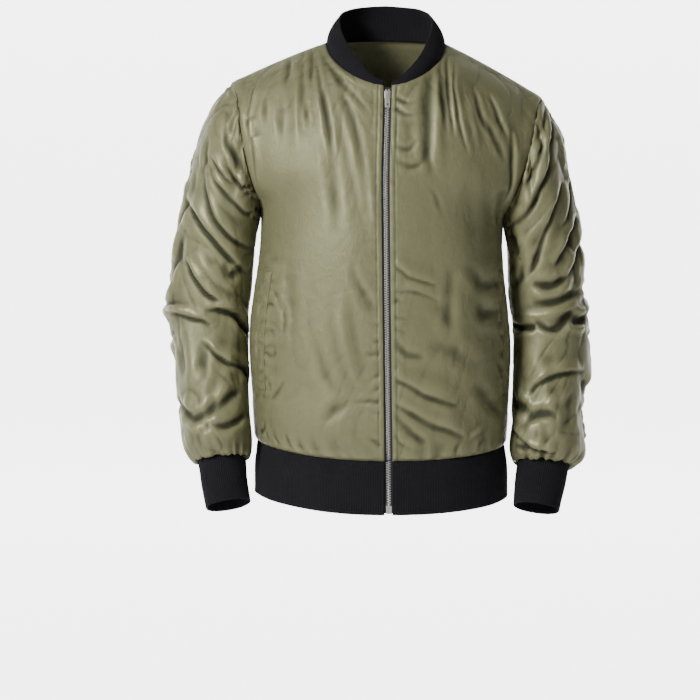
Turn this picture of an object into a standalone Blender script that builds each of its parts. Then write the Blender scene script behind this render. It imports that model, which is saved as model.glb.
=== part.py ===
"""A bomber jacket in the shape it keeps when worn, as the separate pieces that a maker cuts and sews.

Units are metres, +Z is up and the jacket faces -Y. The origin is midway between the two points where
the shoulder seams meet the collar. "right" and "left" are the wearer's, so right is at -X.
"""

import math
from collections import namedtuple

import bmesh
import bpy
import numpy as np
from mathutils import Matrix, Vector

# ---------------------------------------------------------------- driving dimensions
SHELL_WALL = 0.0015  # woven shell cloth
RIB_WALL = 0.0026  # doubled rib knit
SEAM_GAP = 0.0004  # between two pieces that are sewn together
ARMHOLE_GAP = 0.0007
HEM_SEAM_Z = -0.5935
HEM_BAND_DROP = 0.0735
ZIP_OPENING = 0.0062  # from the zip's middle line to the front edge of a panel
NECK_AXIS_Y = -0.006

# Facets. A panel's top edge is neckline first and then shoulder seam, and its side is side seam up
# to the armpit and armhole above it, so neighbours share their points along every seam.
SHOULDER_COLUMNS = 6
NECK_COLUMNS = {"front": 7, "back": 6}
SIDE_ROWS, ARMHOLE_ROWS = 9, 10
SIDE_BLEND = 0.25  # how far into a panel its side seam is eased to suit its neighbour
SLEEVE_ROWS, CUFF_ROWS, COLLAR_ROWS, BAND_ROWS = 20, 3, 3, 3

RIGHT, LEFT = "right", "left"
SIGN = {RIGHT: -1.0, LEFT: 1.0}

# ---------------------------------------------------------------- section tables
# A section of half a panel runs from the middle line to the side. flat is how far it stays level
# across the body, and round_x, round_y, round_z are how it turns in to the side point.
Section = namedtuple(
    "Section", "name mid_z mid_y right_x left_x side_y right_z left_z flat round_x round_y round_z"
)
FRONT_SECTIONS = [
    Section("hem", -0.5940, -0.137, 0.1860, 0.1725, 0.0, -0.5790, -0.5850, 0.105, 0.0, 0.080, 0.0),
    Section("blouse", -0.5720, -0.147, 0.1905, 0.1760, 0.0, -0.5560, -0.5620, 0.110, 0.0, 0.088, 0.0),
    Section("hip", -0.5150, -0.150, 0.1930, 0.1790, 0.0, -0.5100, -0.5130, 0.112, 0.0, 0.090, 0.0),
    Section("waist", -0.4400, -0.150, 0.1960, 0.1815, 0.0, -0.4450, -0.4450, 0.112, 0.0, 0.090, 0.0),
    Section("ribs", -0.3600, -0.147, 0.1910, 0.1750, 0.0, -0.3750, -0.3780, 0.112, 0.0, 0.086, 0.0),
    Section("chest", -0.2900, -0.142, 0.1810, 0.1675, 0.0, -0.3080, -0.3150, 0.112, 0.0, 0.080, 0.0),
    Section("armpit", -0.2250, -0.134, 0.1790, 0.1680, 0.0, -0.2450, -0.2600, 0.112, 0.0, 0.072, 0.0),
    Section("scye", -0.1850, -0.126, 0.1880, 0.1790, -0.042, -0.2160, -0.2330, 0.105, 0.012, 0.052, 0.0),
    Section("breast", -0.1500, -0.116, 0.2000, 0.1960, -0.060, -0.1690, -0.1850, 0.100, 0.050, 0.040, 0.0),
    Section("upper", -0.1150, -0.104, 0.2085, 0.2085, -0.050, -0.1160, -0.1340, 0.095, 0.070, 0.034, 0.010),
    Section("yoke", -0.0880, -0.091, 0.2165, 0.2180, -0.021, -0.0770, -0.0970, 0.080, 0.090, 0.010, 0.050),
]
BACK_SECTIONS = [
    Section("hem", -0.5900, 0.126, 0.1860, 0.1725, 0.0, -0.5790, -0.5850, 0.105, 0.0, 0.074, 0.0),
    Section("blouse", -0.5670, 0.137, 0.1905, 0.1760, 0.0, -0.5560, -0.5620, 0.110, 0.0, 0.082, 0.0),
    Section("hip", -0.5130, 0.138, 0.1930, 0.1790, 0.0, -0.5100, -0.5130, 0.112, 0.0, 0.082, 0.0),
    Section("waist", -0.4400, 0.132, 0.1960, 0.1815, 0.0, -0.4450, -0.4450, 0.112, 0.0, 0.080, 0.0),
    Section("ribs", -0.3600, 0.131, 0.1910, 0.1750, 0.0, -0.3750, -0.3780, 0.112, 0.0, 0.080, 0.0),
    Section("chest", -0.2900, 0.136, 0.1810, 0.1675, 0.0, -0.3080, -0.3150, 0.112, 0.0, 0.080, 0.0),
    Section("armpit", -0.2250, 0.139, 0.1790, 0.1680, 0.0, -0.2450, -0.2600, 0.112, 0.0, 0.078, 0.0),
    Section("scye", -0.1750, 0.137, 0.1890, 0.1800, 0.046, -0.2140, -0.2310, 0.110, 0.012, 0.060, 0.0),
    Section("blade", -0.1250, 0.128, 0.2020, 0.1990, 0.074, -0.1650, -0.1800, 0.110, 0.050, 0.036, 0.0),
    Section("upper", -0.0760, 0.112, 0.2110, 0.2120, 0.064, -0.1100, -0.1280, 0.095, 0.075, 0.022, 0.012),
    Section("yoke", -0.0330, 0.090, 0.2180, 0.2200, 0.026, -0.0740, -0.0940, 0.066, 0.100, 0.012, 0.044),
]
ARMPIT = 6  # the section that ends in the armpit, in both tables

# A point of the neckline or shoulder seam, on either side.
SHOULDER_TIP = {RIGHT: (-0.2215, 0.0, -0.0640), LEFT: (0.2235, 0.0, -0.0850)}
NECK_POINT = {RIGHT: (-0.0855, 0.0, -0.0070), LEFT: (0.0845, 0.0, -0.0080)}
FRONT_NECK = (-0.0850, -0.0715)  # y and z where the neckline meets the zip
BACK_NECK = (0.0660, 0.0010)

# The zip's middle line wanders a little to the side on its way down.
ZIP_LINE = [
    (-0.060, 0.0015),
    (-0.200, -0.0025),
    (-0.330, -0.0015),
    (-0.450, 0.0),
    (-0.600, 0.0020),
    (-0.680, 0.0030),
]

# A sleeve ring has an outer and an inner point, a middle y, a half depth and how far its back stands
# above its front.
Ring = namedtuple("Ring", "name outer_x outer_z inner_x inner_z mid_y half_depth tilt square")
SLEEVE_RINGS = {
    RIGHT: [
        Ring("cap", 0.2460, -0.0900, 0.1850, -0.2610, 0.010, 0.072, 0.000, 2.1),
        Ring("deltoid", 0.2680, -0.1300, 0.1900, -0.2820, 0.011, 0.070, 0.004, 2.1),
        Ring("upper", 0.2815, -0.1850, 0.1935, -0.3060, 0.012, 0.067, 0.006, 2.1),
        Ring("biceps", 0.2965, -0.2500, 0.1960, -0.3320, 0.014, 0.066, 0.008, 2.1),
        Ring("above_elbow", 0.3085, -0.3250, 0.1985, -0.3650, 0.015, 0.064, 0.006, 2.1),
        Ring("elbow", 0.3180, -0.3860, 0.2030, -0.3930, 0.012, 0.061, 0.000, 2.1),
        Ring("below_elbow", 0.3090, -0.4300, 0.2030, -0.4300, 0.004, 0.060, -0.010, 2.1),
        Ring("forearm", 0.3030, -0.4950, 0.2010, -0.4950, -0.012, 0.058, -0.016, 2.1),
        Ring("lower", 0.2960, -0.5480, 0.1975, -0.5450, -0.026, 0.056, -0.018, 2.1),
        Ring("blouse", 0.2880, -0.5870, 0.1955, -0.5820, -0.036, 0.053, -0.018, 2.1),
        Ring("cuff_seam", 0.2705, -0.6060, 0.2010, -0.6000, -0.041, 0.031, -0.012, 2.2),
    ],
    LEFT: [
        Ring("cap", 0.2400, -0.1120, 0.1745, -0.2760, 0.010, 0.071, 0.000, 2.1),
        Ring("deltoid", 0.2570, -0.1560, 0.1790, -0.2960, 0.011, 0.069, 0.004, 2.1),
        Ring("upper", 0.2670, -0.2120, 0.1805, -0.3180, 0.012, 0.066, 0.006, 2.1),
        Ring("biceps", 0.2775, -0.2700, 0.1810, -0.3400, 0.014, 0.065, 0.008, 2.1),
        Ring("above_elbow", 0.2835, -0.3300, 0.1815, -0.3680, 0.014, 0.063, 0.006, 2.1),
        Ring("elbow", 0.2935, -0.3980, 0.1875, -0.4020, 0.010, 0.060, 0.000, 2.1),
        Ring("below_elbow", 0.2960, -0.4500, 0.1885, -0.4480, 0.002, 0.060, -0.010, 2.1),
        Ring("forearm", 0.2850, -0.5100, 0.1865, -0.5060, -0.014, 0.058, -0.016, 2.1),
        Ring("lower", 0.2845, -0.5580, 0.1835, -0.5540, -0.026, 0.057, -0.018, 2.1),
        Ring("blouse", 0.2835, -0.5970, 0.1805, -0.5900, -0.036, 0.055, -0.018, 2.1),
        Ring("cuff_seam", 0.2635, -0.6120, 0.1890, -0.6060, -0.041, 0.032, -0.012, 2.2),
    ],
}
CUFF_RINGS = {
    RIGHT: [
        Ring("seam", 0.2705, -0.6064, 0.2010, -0.6004, -0.041, 0.031, -0.012, 2.2),
        Ring("middle", 0.2645, -0.6400, 0.1985, -0.6320, -0.049, 0.030, -0.012, 2.2),
        Ring("end", 0.2580, -0.6720, 0.1940, -0.6610, -0.056, 0.029, -0.012, 2.2),
    ],
    LEFT: [
        Ring("seam", 0.2635, -0.6124, 0.1890, -0.6064, -0.041, 0.032, -0.012, 2.2),
        Ring("middle", 0.2560, -0.6450, 0.1850, -0.6370, -0.049, 0.031, -0.012, 2.2),
        Ring("end", 0.2480, -0.6760, 0.1830, -0.6660, -0.056, 0.030, -0.012, 2.2),
    ],
}

# The collar stands up from the neckline: how far it rises and leans in, from the zip (0) round to
# mid back (1).
Stand = namedtuple("Stand", "along rise lean")
COLLAR_STANDS = [
    Stand(0.00, 0.0030, 0.0010),
    Stand(0.12, 0.0190, 0.0070),
    Stand(0.28, 0.0330, 0.0130),
    Stand(0.52, 0.0370, 0.0190),
    Stand(0.75, 0.0450, 0.0130),
    Stand(1.00, 0.0470, 0.0100),
]
COLLAR_BULGE = 0.0025

# The hem band from its seam down to its edge: share of its drop, and how far out it stands there.
BAND_PROFILE = [(0.0, 0.0), (0.45, 0.0035), (1.0, 0.0050)]

# A pocket welt lies on the front panel: its top and bottom heights and how far round from the side seam.
WELT_TOP_Z, WELT_BOTTOM_Z = -0.335, -0.500
WELT_FROM_SIDE = {RIGHT: (0.080, 0.084), LEFT: (0.066, 0.064)}  # at its bottom and at its top
WELT_WIDTH, WELT_WALL = 0.018, 0.0014
WELT_COLUMNS, WELT_ROWS = 2, 9

# Zip, in the zip's own frame: x to the wearer's right, y out of the cloth, z up along the chain.
TAPE_INNER, TAPE_OUTER, TAPE_WALL = 0.0031, 0.0130, 0.0008
CHAIN_HALF_GAP, CHAIN_OUTER, CHAIN_THICK = 0.00015, 0.0028, 0.0020
TAPE_DEPTH = 0.0036  # from the shell's face back to the middle of the tape
SLIDER_Z = -0.0840
SLIDER_SIZE = (0.0088, 0.0011, 0.0104)
SLIDER_CHANNEL = 0.0028
POST_SIZE = (0.0022, 0.0030)
ARCH_WIDTH, ARCH_HALF_SPAN, ARCH_BAR = 0.0016, 0.0022, 0.0012
ARCH_CLEAR = 0.0020
PULL_SIZE = (0.0074, 0.0012, 0.0215)
PULL_WINDOW = (0.0028, 0.0042)
PULL_EYE = (0.0030, 0.0036)
PULL_AXIS_HEIGHT = 0.0010
PULL_TOP = 0.0007
BOX_SIZE = (0.0078, 0.0034, 0.0115)
STOP_SIZE = (0.0016, 0.0024, 0.0026)

OLIVE = (0.222, 0.214, 0.140)
RIB_BLACK = (0.012, 0.012, 0.015)
TAPE_GREY = (0.030, 0.032, 0.040)
METAL = (0.62, 0.60, 0.56)


# ---------------------------------------------------------------- curves and surfaces
def bezier(start, leave, arrive, end, share):
    """Points of a cubic Bezier at each share from 0 to 1, as an array of rows."""
    t = np.asarray(share)[:, None]
    return (
        np.asarray(start) * (1 - t) ** 3
        + 3 * np.asarray(leave) * t * (1 - t) ** 2
        + 3 * np.asarray(arrive) * t**2 * (1 - t)
        + np.asarray(end) * t**3
    )


def smooth_columns(rows, places):
    """Runs a natural cubic spline down each column of rows (row, column, xyz), spaced by length.

    places says where to read it, counted in rows: 2.5 is halfway from row 2 to row 3.
    """
    rows = np.asarray(rows, float)
    count, columns = rows.shape[:2]
    gap = np.linalg.norm(np.diff(rows, axis=0), axis=2)
    slope = np.diff(rows, axis=0) / gap[:, :, None]
    matrix = np.zeros((columns, count, count))
    wanted = np.zeros((columns, count, 3))
    matrix[:, 0, 0] = matrix[:, -1, -1] = 1.0
    for k in range(1, count - 1):
        matrix[:, k, k - 1] = gap[k - 1]
        matrix[:, k, k] = 2 * (gap[k - 1] + gap[k])
        matrix[:, k, k + 1] = gap[k]
        wanted[:, k] = 6 * (slope[k] - slope[k - 1])
    bend = np.linalg.solve(matrix, wanted).transpose(1, 0, 2)
    span = np.clip(np.floor(places).astype(int), 0, count - 2)
    b = (np.asarray(places) - span)[:, None, None]
    a = 1 - b
    curved = (a**3 - a) * bend[span] + (b**3 - b) * bend[span + 1]
    return a * rows[span] + b * rows[span + 1] + curved * gap[span][:, :, None] ** 2 / 6


def even_places(rows, count):
    """Places down rows (row, column, xyz) that are equally far apart on the whole, counted in rows."""
    steps = np.linalg.norm(np.diff(rows, axis=0), axis=2).mean(axis=1)
    reach = np.concatenate([[0.0], np.cumsum(steps)])
    return np.interp(np.linspace(0, reach[-1], count + 1), reach, np.arange(len(rows)))


def zip_x(height):
    """How far the zip's middle line stands to the side at a height."""
    down = [-z for z, _ in ZIP_LINE]
    return np.interp(-np.asarray(height, float), down, [x for _, x in ZIP_LINE])


def section_curve(section, side, shares, edge):
    """A panel's section on one side, from the middle line (edge metres off it) to the side point."""
    sign = SIGN[side]
    facing = math.copysign(1.0, section.mid_y)
    side_x, side_z = (
        (section.right_x, section.right_z) if side == RIGHT else (section.left_x, section.left_z)
    )
    middle = zip_x(section.mid_z) + sign * edge if edge else 0.0
    start = np.array([middle, section.mid_y, section.mid_z])
    end = np.array([sign * side_x, section.side_y, side_z])
    leave = start + [sign * section.flat, 0.0, section.round_z * 0.35]
    arrive = end + [-sign * section.round_x, facing * section.round_y, section.round_z]
    return bezier(start, leave, arrive, end, shares)


def neckline(side, face, shares):
    """The neckline from the middle line to the point where it meets the shoulder seam."""
    sign = SIGN[side]
    end = np.array(NECK_POINT[side])
    if face == "front":
        start = np.array([zip_x(FRONT_NECK[1]) + sign * ZIP_OPENING, *FRONT_NECK])
        leave = start + [sign * 0.048, -0.004, 0.006]
        arrive = end + [sign * 0.002, -0.034, -0.022]
    else:
        start = np.array([0.0, *BACK_NECK])
        leave = start + [sign * 0.042, 0.0, 0.0]
        arrive = end + [sign * -0.002, 0.040, 0.003]
    return bezier(start, leave, arrive, end, shares)


def shoulder_seam(side, shares):
    """The shoulder seam from the collar to the tip of the shoulder, bowed up a little."""
    start, end = np.array(NECK_POINT[side]), np.array(SHOULDER_TIP[side])
    third = (end - start) / 3
    bow = np.array([0.0, 0.0, 0.0035])
    return bezier(start, start + third + bow, end - third + bow, end, shares)


def top_edge(side, face, per_column=1):
    """The top edge of half a panel: the neckline, then the shoulder seam."""
    on_neck = np.linspace(0, 1, NECK_COLUMNS[face] * per_column + 1)
    on_shoulder = np.linspace(0, 1, SHOULDER_COLUMNS * per_column + 1)
    return np.concatenate([neckline(side, face, on_neck), shoulder_seam(side, on_shoulder)[1:]])


def half_panel(side, face, side_rows=SIDE_ROWS, armhole_rows=ARMHOLE_ROWS, per_column=1):
    """Half a panel as a grid, from the hem up and from the middle line out to the side.

    The side seam lies in the plane y = 0 and is the same line for front and back.
    """
    sections = FRONT_SECTIONS if face == "front" else BACK_SECTIONS
    edge = ZIP_OPENING if face == "front" else 0.0
    top = top_edge(side, face, per_column)
    shares = np.linspace(0, 1, len(top))
    rows = np.array([section_curve(section, side, shares, edge) for section in sections] + [top])
    lower = even_places(rows[: ARMPIT + 1, -1:], side_rows)
    upper = ARMPIT + even_places(rows[ARMPIT:], armhole_rows)
    grid = smooth_columns(rows, np.concatenate([lower, upper[1:]]))
    seam = smooth_columns(rows[: ARMPIT + 1, -1:], lower)
    weight = np.clip(1 - (1 - shares) / SIDE_BLEND, 0, 1)[None, :, None]
    grid[: side_rows + 1] += (seam - grid[: side_rows + 1, -1:]) * weight
    return grid


def armhole_edge(side, face):
    """The armhole on one panel, from the shoulder tip down to the armpit."""
    return half_panel(side, face)[SIDE_ROWS:, -1][::-1]


def ring_curve(ring, side, angles):
    """A sleeve ring at each angle: 0 is outer, a quarter turn is the front, a half turn is inner."""
    sign = SIGN[side]
    outer = np.array([sign * ring.outer_x, ring.mid_y, ring.outer_z])
    inner = np.array([sign * ring.inner_x, ring.mid_y, ring.inner_z])
    power = 2.0 / ring.square
    along = np.sign(np.cos(angles)) * np.abs(np.cos(angles)) ** power
    front = np.sign(np.sin(angles)) * np.abs(np.sin(angles)) ** power
    points = (outer + inner) / 2 + along[:, None] * (outer - inner) / 2
    points[:, 1] -= ring.half_depth * front
    points[:, 2] -= ring.tilt * front
    return points


def sleeve_angles():
    """Angles round a sleeve, one for each point of the armhole."""
    return np.arange(2 * ARMHOLE_ROWS) * math.pi / ARMHOLE_ROWS


def sleeve_rows(side):
    """The control rings of a sleeve, from the armhole to the cuff."""
    front, back = armhole_edge(side, "front"), armhole_edge(side, "back")
    hole = np.concatenate([front, back[-2:0:-1]])
    rings = [ring_curve(ring, side, sleeve_angles()) for ring in SLEEVE_RINGS[side]]
    outward = rings[0] - hole
    outward /= np.linalg.norm(outward, axis=1)[:, None]
    return np.array([hole + outward * ARMHOLE_GAP, *rings])


# ---------------------------------------------------------------- making objects
def material(name, colour, roughness, metallic=0.0):
    """A plain Principled material."""
    made = bpy.data.materials.new(name)
    made.use_nodes = True
    shader = made.node_tree.nodes["Principled BSDF"]
    shader.inputs["Base Color"].default_value = (*colour, 1.0)
    shader.inputs["Roughness"].default_value = roughness
    shader.inputs["Metallic"].default_value = metallic
    return made


def grid_normals(grid, closed):
    """Unit normals at the points of a grid, facing out."""
    if closed:
        along = np.roll(grid, -1, axis=1) - np.roll(grid, 1, axis=1)
    else:
        along = np.gradient(grid, axis=1)
    normals = np.cross(along, np.gradient(grid, axis=0))
    return normals / np.linalg.norm(normals, axis=2)[:, :, None]


def grid_object(name, grid, closed, wall, finish, collection, normals=None):
    """A named closed shell from a grid of points (row, column, xyz), its wall laid to the inside.

    Rows run up the piece and columns run anticlockwise seen from above, or round a closed tube.
    """
    rows, columns = grid.shape[:2]
    if normals is None:
        normals = grid_normals(grid, closed)
    inner = grid - wall * normals
    last = columns if closed else columns - 1
    count = rows * columns
    faces = []
    for r in range(rows - 1):
        for c in range(last):
            beside = (c + 1) % columns
            quad = (r * columns + c, r * columns + beside, (r + 1) * columns + beside, (r + 1) * columns + c)
            faces.append(quad)
            faces.append(tuple(count + corner for corner in reversed(quad)))
    for r, turned in ((0, False), (rows - 1, True)):
        for c in range(last):
            a, b = r * columns + c, r * columns + (c + 1) % columns
            faces.append((a, b, count + b, count + a) if turned else (b, a, count + a, count + b))
    if not closed:
        for c, turned in ((0, True), (columns - 1, False)):
            for r in range(rows - 1):
                a, b = r * columns + c, (r + 1) * columns + c
                faces.append((a, b, count + b, count + a) if turned else (b, a, count + a, count + b))
    mesh = bpy.data.meshes.new(name)
    points = np.concatenate([grid.reshape(-1, 3), inner.reshape(-1, 3)])
    mesh.from_pydata(points.tolist(), [], faces)
    mesh.materials.append(finish)
    mesh.shade_smooth()
    made = bpy.data.objects.new(name, mesh)
    collection.objects.link(made)
    return made


def sleeve_grid(side):
    """A sleeve as a grid whose rows run up, from the cuff to the armhole."""
    rows = sleeve_rows(side)
    grid = smooth_columns(rows, even_places(rows, SLEEVE_ROWS))
    return grid[::-1] if side == RIGHT else grid


def armhole_normals(side):
    """Normals that a sleeve shares with the panels, by face, each from the shoulder tip to the armpit.

    Where a panel and the sleeve meet in a hollow each keeps its own, and there is no number here.
    """
    sleeve = grid_normals(sleeve_grid(side), True)[-1 if side == RIGHT else 0]
    round_sleeve = {"front": sleeve, "back": np.roll(sleeve, -1, axis=0)[::-1]}
    shared = {}
    for face, turned in round_sleeve.items():
        of_sleeve = turned[: ARMHOLE_ROWS + 1]
        turn = SIGN[side] if face == "front" else -SIGN[side]
        of_panel = grid_normals(half_panel(side, face), False)[SIDE_ROWS:, -1][::-1] * turn
        both = of_panel + of_sleeve
        both /= np.linalg.norm(both, axis=1)[:, None]
        both[(of_panel * of_sleeve).sum(axis=1) < 0.1] = np.nan
        shared[face] = both
    return shared


def take_shared(normals, rows, column, shared):
    """Puts shared normals into a column of a panel's normals, wherever there are any."""
    there = ~np.isnan(shared[:, 0])
    normals[np.asarray(rows)[there], column] = shared[there]


def seam_normals(grid, shoulder_columns, edges):
    """Normals of a panel, with those on its seams turned to suit the piece on the other side.

    The shoulder and side seams lie in the plane y = 0, so the normal that two panels share there has
    no y. edges holds the (column, side, face) of each edge that has a side seam and an armhole.
    """
    normals = grid_normals(grid, False)
    for column, side, face in edges:
        normals[: SIDE_ROWS + 1, column, 1] = 0.0
        armhole = np.arange(len(grid) - 1, SIDE_ROWS - 1, -1)
        take_shared(normals, armhole, column, armhole_normals(side)[face])
    normals[-1, shoulder_columns, 1] = 0.0
    return normals / np.linalg.norm(normals, axis=2)[:, :, None]


def make_front(side, finish, collection):
    """A front panel, from the zip to the side seam and the armhole."""
    grid = half_panel(side, "front")
    on_shoulder = np.arange(grid.shape[1]) >= NECK_COLUMNS["front"]
    grid[: SIDE_ROWS + 1, -1, 1] -= SEAM_GAP / 2
    grid[-1, on_shoulder, 1] -= SEAM_GAP / 2
    if side == RIGHT:
        grid, on_shoulder = grid[:, ::-1], on_shoulder[::-1]
    normals = seam_normals(grid, on_shoulder, [(0 if side == RIGHT else -1, side, "front")])
    return grid_object(f"front_{side}", grid, False, SHELL_WALL, finish, collection, normals)


def make_back(finish, collection):
    """The back panel, in one piece from side seam to side seam."""
    left, right = half_panel(LEFT, "back"), half_panel(RIGHT, "back")
    grid = np.concatenate([left[:, ::-1], right[:, 1:]], axis=1)
    from_middle = np.abs(np.arange(grid.shape[1]) - left.shape[1] + 1)
    on_shoulder = from_middle >= NECK_COLUMNS["back"]
    grid[: SIDE_ROWS + 1, [0, -1], 1] += SEAM_GAP / 2
    grid[-1, on_shoulder, 1] += SEAM_GAP / 2
    normals = seam_normals(grid, on_shoulder, [(0, LEFT, "back"), (-1, RIGHT, "back")])
    return grid_object("back", grid, False, SHELL_WALL, finish, collection, normals)


def make_sleeve(side, finish, collection):
    """A sleeve in one piece, closed by a seam under the arm."""
    grid = sleeve_grid(side)
    normals = grid_normals(grid, True)
    shared = armhole_normals(side)
    edge = -1 if side == RIGHT else 0
    for face, columns in (("front", range(ARMHOLE_ROWS + 1)), ("back", range(0, -ARMHOLE_ROWS - 1, -1))):
        for column, normal in zip(columns, shared[face]):
            if not np.isnan(normal[0]):
                normals[edge, column] = normal
    return grid_object(f"sleeve_{side}", grid, True, SHELL_WALL, finish, collection, normals)


def make_cuff(side, finish, collection):
    """A rib cuff."""
    rows = np.array([ring_curve(ring, side, sleeve_angles()) for ring in CUFF_RINGS[side]])
    grid = smooth_columns(rows, even_places(rows, CUFF_ROWS))
    grid = grid[::-1] if side == RIGHT else grid
    return grid_object(f"cuff_{side}", grid, True, RIB_WALL, finish, collection)


def collar_half(side):
    """Half the collar as a grid, from the zip round to mid back."""
    front, back = NECK_COLUMNS["front"], NECK_COLUMNS["back"]
    seam = np.concatenate(
        [
            neckline(side, "front", np.linspace(0, 1, front + 1)),
            neckline(side, "back", np.linspace(1, 0, back + 1))[1:],
        ]
    )
    along = np.concatenate([np.linspace(0, 0.5, front + 1), np.linspace(0.5, 1, back + 1)[1:]])
    knots = [stand.along for stand in COLLAR_STANDS]
    rise = np.interp(along, knots, [stand.rise for stand in COLLAR_STANDS])
    lean = np.interp(along, knots, [stand.lean for stand in COLLAR_STANDS])
    outward = (seam - [0.0, NECK_AXIS_Y, 0.0]) * [1.0, 1.0, 0.0]
    outward /= np.linalg.norm(outward, axis=1)[:, None]
    step = np.stack([-outward[:, 0] * lean, -outward[:, 1] * lean, rise], axis=1)
    foot = seam + step / np.linalg.norm(step, axis=1)[:, None] * SEAM_GAP
    share = np.linspace(0, 1, COLLAR_ROWS + 1)[:, None, None]
    bulge = COLLAR_BULGE * np.sin(math.pi * share) * outward[None]
    return foot[None] + share * step[None] + bulge * np.minimum(1, rise / 0.03)[None, :, None]


def make_collar(finish, collection):
    """The rib collar, in one piece, tapering to a point at the zip."""
    left, right = collar_half(LEFT), collar_half(RIGHT)
    grid = np.concatenate([left, right[:, -2::-1]], axis=1)
    return grid_object("collar", grid, False, RIB_WALL, finish, collection)


def make_hem_band(finish, collection):
    """The rib band round the hem, from one side of the zip to the other."""
    front_left, back_left = half_panel(LEFT, "front")[0], half_panel(LEFT, "back")[0]
    front_right, back_right = half_panel(RIGHT, "front")[0], half_panel(RIGHT, "back")[0]
    seam = np.concatenate([front_left, back_left[-2::-1], back_right[1:], front_right[-2::-1]])
    outward = seam * [1.0, 1.0, 0.0]
    outward /= np.linalg.norm(outward, axis=1)[:, None]
    drops = np.linspace(0, 1, BAND_ROWS + 1)
    stand = np.interp(drops, [d for d, _ in BAND_PROFILE], [s for _, s in BAND_PROFILE])
    grid = seam[None] + stand[:, None, None] * outward[None]
    grid[:, :, 2] -= (SEAM_GAP + drops * HEM_BAND_DROP)[:, None]
    return grid_object("hem_band", grid[::-1], False, RIB_WALL, finish, collection)


def make_welt(side, finish, collection):
    """A pocket welt, read off the front panel and moved out by its own wall and a gap."""
    fine = half_panel(side, "front", SIDE_ROWS * 24, ARMHOLE_ROWS * 4, 5)
    step = np.linalg.norm(np.diff(fine, axis=1), axis=2)
    from_side = np.concatenate([np.cumsum(step[:, ::-1], axis=1)[:, ::-1], np.zeros((len(fine), 1))], axis=1)
    raised = fine + (WELT_WALL + SEAM_GAP) * grid_normals(fine, False) * SIGN[side]
    grid = []
    heights = np.linspace(WELT_BOTTOM_Z, WELT_TOP_Z, WELT_ROWS + 1)
    for height, reach in zip(heights, np.linspace(*WELT_FROM_SIDE[side], WELT_ROWS + 1)):
        row = np.argmin(np.abs(fine[:, -1, 2] - height))
        wanted = reach - WELT_WIDTH * np.linspace(0, 1, WELT_COLUMNS + 1)
        order = np.argsort(from_side[row])
        line = [np.interp(wanted, from_side[row][order], raised[row][order, k]) for k in range(3)]
        grid.append(np.stack(line, axis=1))
    grid = np.array(grid)
    if side == RIGHT:
        grid = grid[:, ::-1]
    return grid_object(f"pocket_welt_{side}", grid, False, WELT_WALL, finish, collection)


# ---------------------------------------------------------------- the zip
def front_line():
    """The shell's face along the zip, from the bottom up: points and outward directions."""
    panel = half_panel(LEFT, "front")[:, 0]
    drops = np.linspace(1, 0, BAND_ROWS + 1)
    stand = np.interp(drops, [d for d, _ in BAND_PROFILE], [s for _, s in BAND_PROFILE])
    band = panel[0] - np.stack([0 * drops, stand, drops * HEM_BAND_DROP], axis=1)
    line = np.concatenate([band, panel[1:]])
    line[:, 0] = zip_x(line[:, 2])
    up = np.gradient(line, axis=0) * [0.0, 1.0, 1.0]
    up /= np.linalg.norm(up, axis=1)[:, None]
    return line, np.cross([1.0, 0.0, 0.0], up)


def line_at(heights):
    """Points and outward directions of the front line at each height."""
    line, out = front_line()
    points = np.stack([zip_x(heights), np.interp(heights, line[:, 2], line[:, 1]), heights], axis=1)
    normals = np.stack([np.interp(heights, line[:, 2], out[:, k]) for k in range(3)], axis=1)
    return points, normals / np.linalg.norm(normals, axis=1)[:, None]


def make_strip(name, side, inner, outer, wall, low, high, finish, collection):
    """A strip beside the zip's middle line, its wall centred on the middle of the tape."""
    line, _ = front_line()
    between = line[(line[:, 2] > low + 0.004) & (line[:, 2] < high - 0.004), 2]
    points, out = line_at(np.array([low, *between, high]))
    face = points - out * (TAPE_DEPTH - wall / 2)
    near = face + [SIGN[side] * inner, 0.0, 0.0]
    far = face + [SIGN[side] * outer, 0.0, 0.0]
    grid = np.stack([near, far] if side == LEFT else [far, near], axis=1)
    return grid_object(name, grid, False, wall, finish, collection)


def slider_frame():
    """The matrix from the zip's own frame to the jacket's, at the slider, on the middle of the tape."""
    points, out = line_at(np.array([SLIDER_Z]))
    across, outward = Vector((-1.0, 0.0, 0.0)), Vector(out[0])
    frame = Matrix((across, outward, across.cross(outward))).transposed().to_4x4()
    frame.translation = Vector(points[0] - out[0] * TAPE_DEPTH)
    return frame


def box_mesh(mesh, size, centre):
    """Adds a closed box of that size about a centre to a bmesh."""
    place = Matrix.Translation(centre) @ Matrix.Diagonal((*size, 1.0))
    bmesh.ops.create_cube(mesh, size=1.0, matrix=place)


def box_object(name, size, centre, finish, collection, bevel=0.0):
    """A box as an object, in the zip's own frame, with its edges softened."""
    mesh = bmesh.new()
    box_mesh(mesh, size, centre)
    data = bpy.data.meshes.new(name)
    mesh.to_mesh(data)
    mesh.free()
    data.materials.append(finish)
    made = bpy.data.objects.new(name, data)
    collection.objects.link(made)
    if bevel:
        soften = made.modifiers.new("soft edges", "BEVEL")
        soften.width = bevel
        soften.segments = 2
        soften.limit_method = "ANGLE"
    return made


def add_boolean(target, other, operation):
    """Joins or cuts target with other, which becomes a hidden helper."""
    change = target.modifiers.new(other.name, "BOOLEAN")
    change.operation = operation
    change.solver = "EXACT"
    change.object = other
    other.hide_render = True
    other.display_type = "WIRE"


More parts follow.
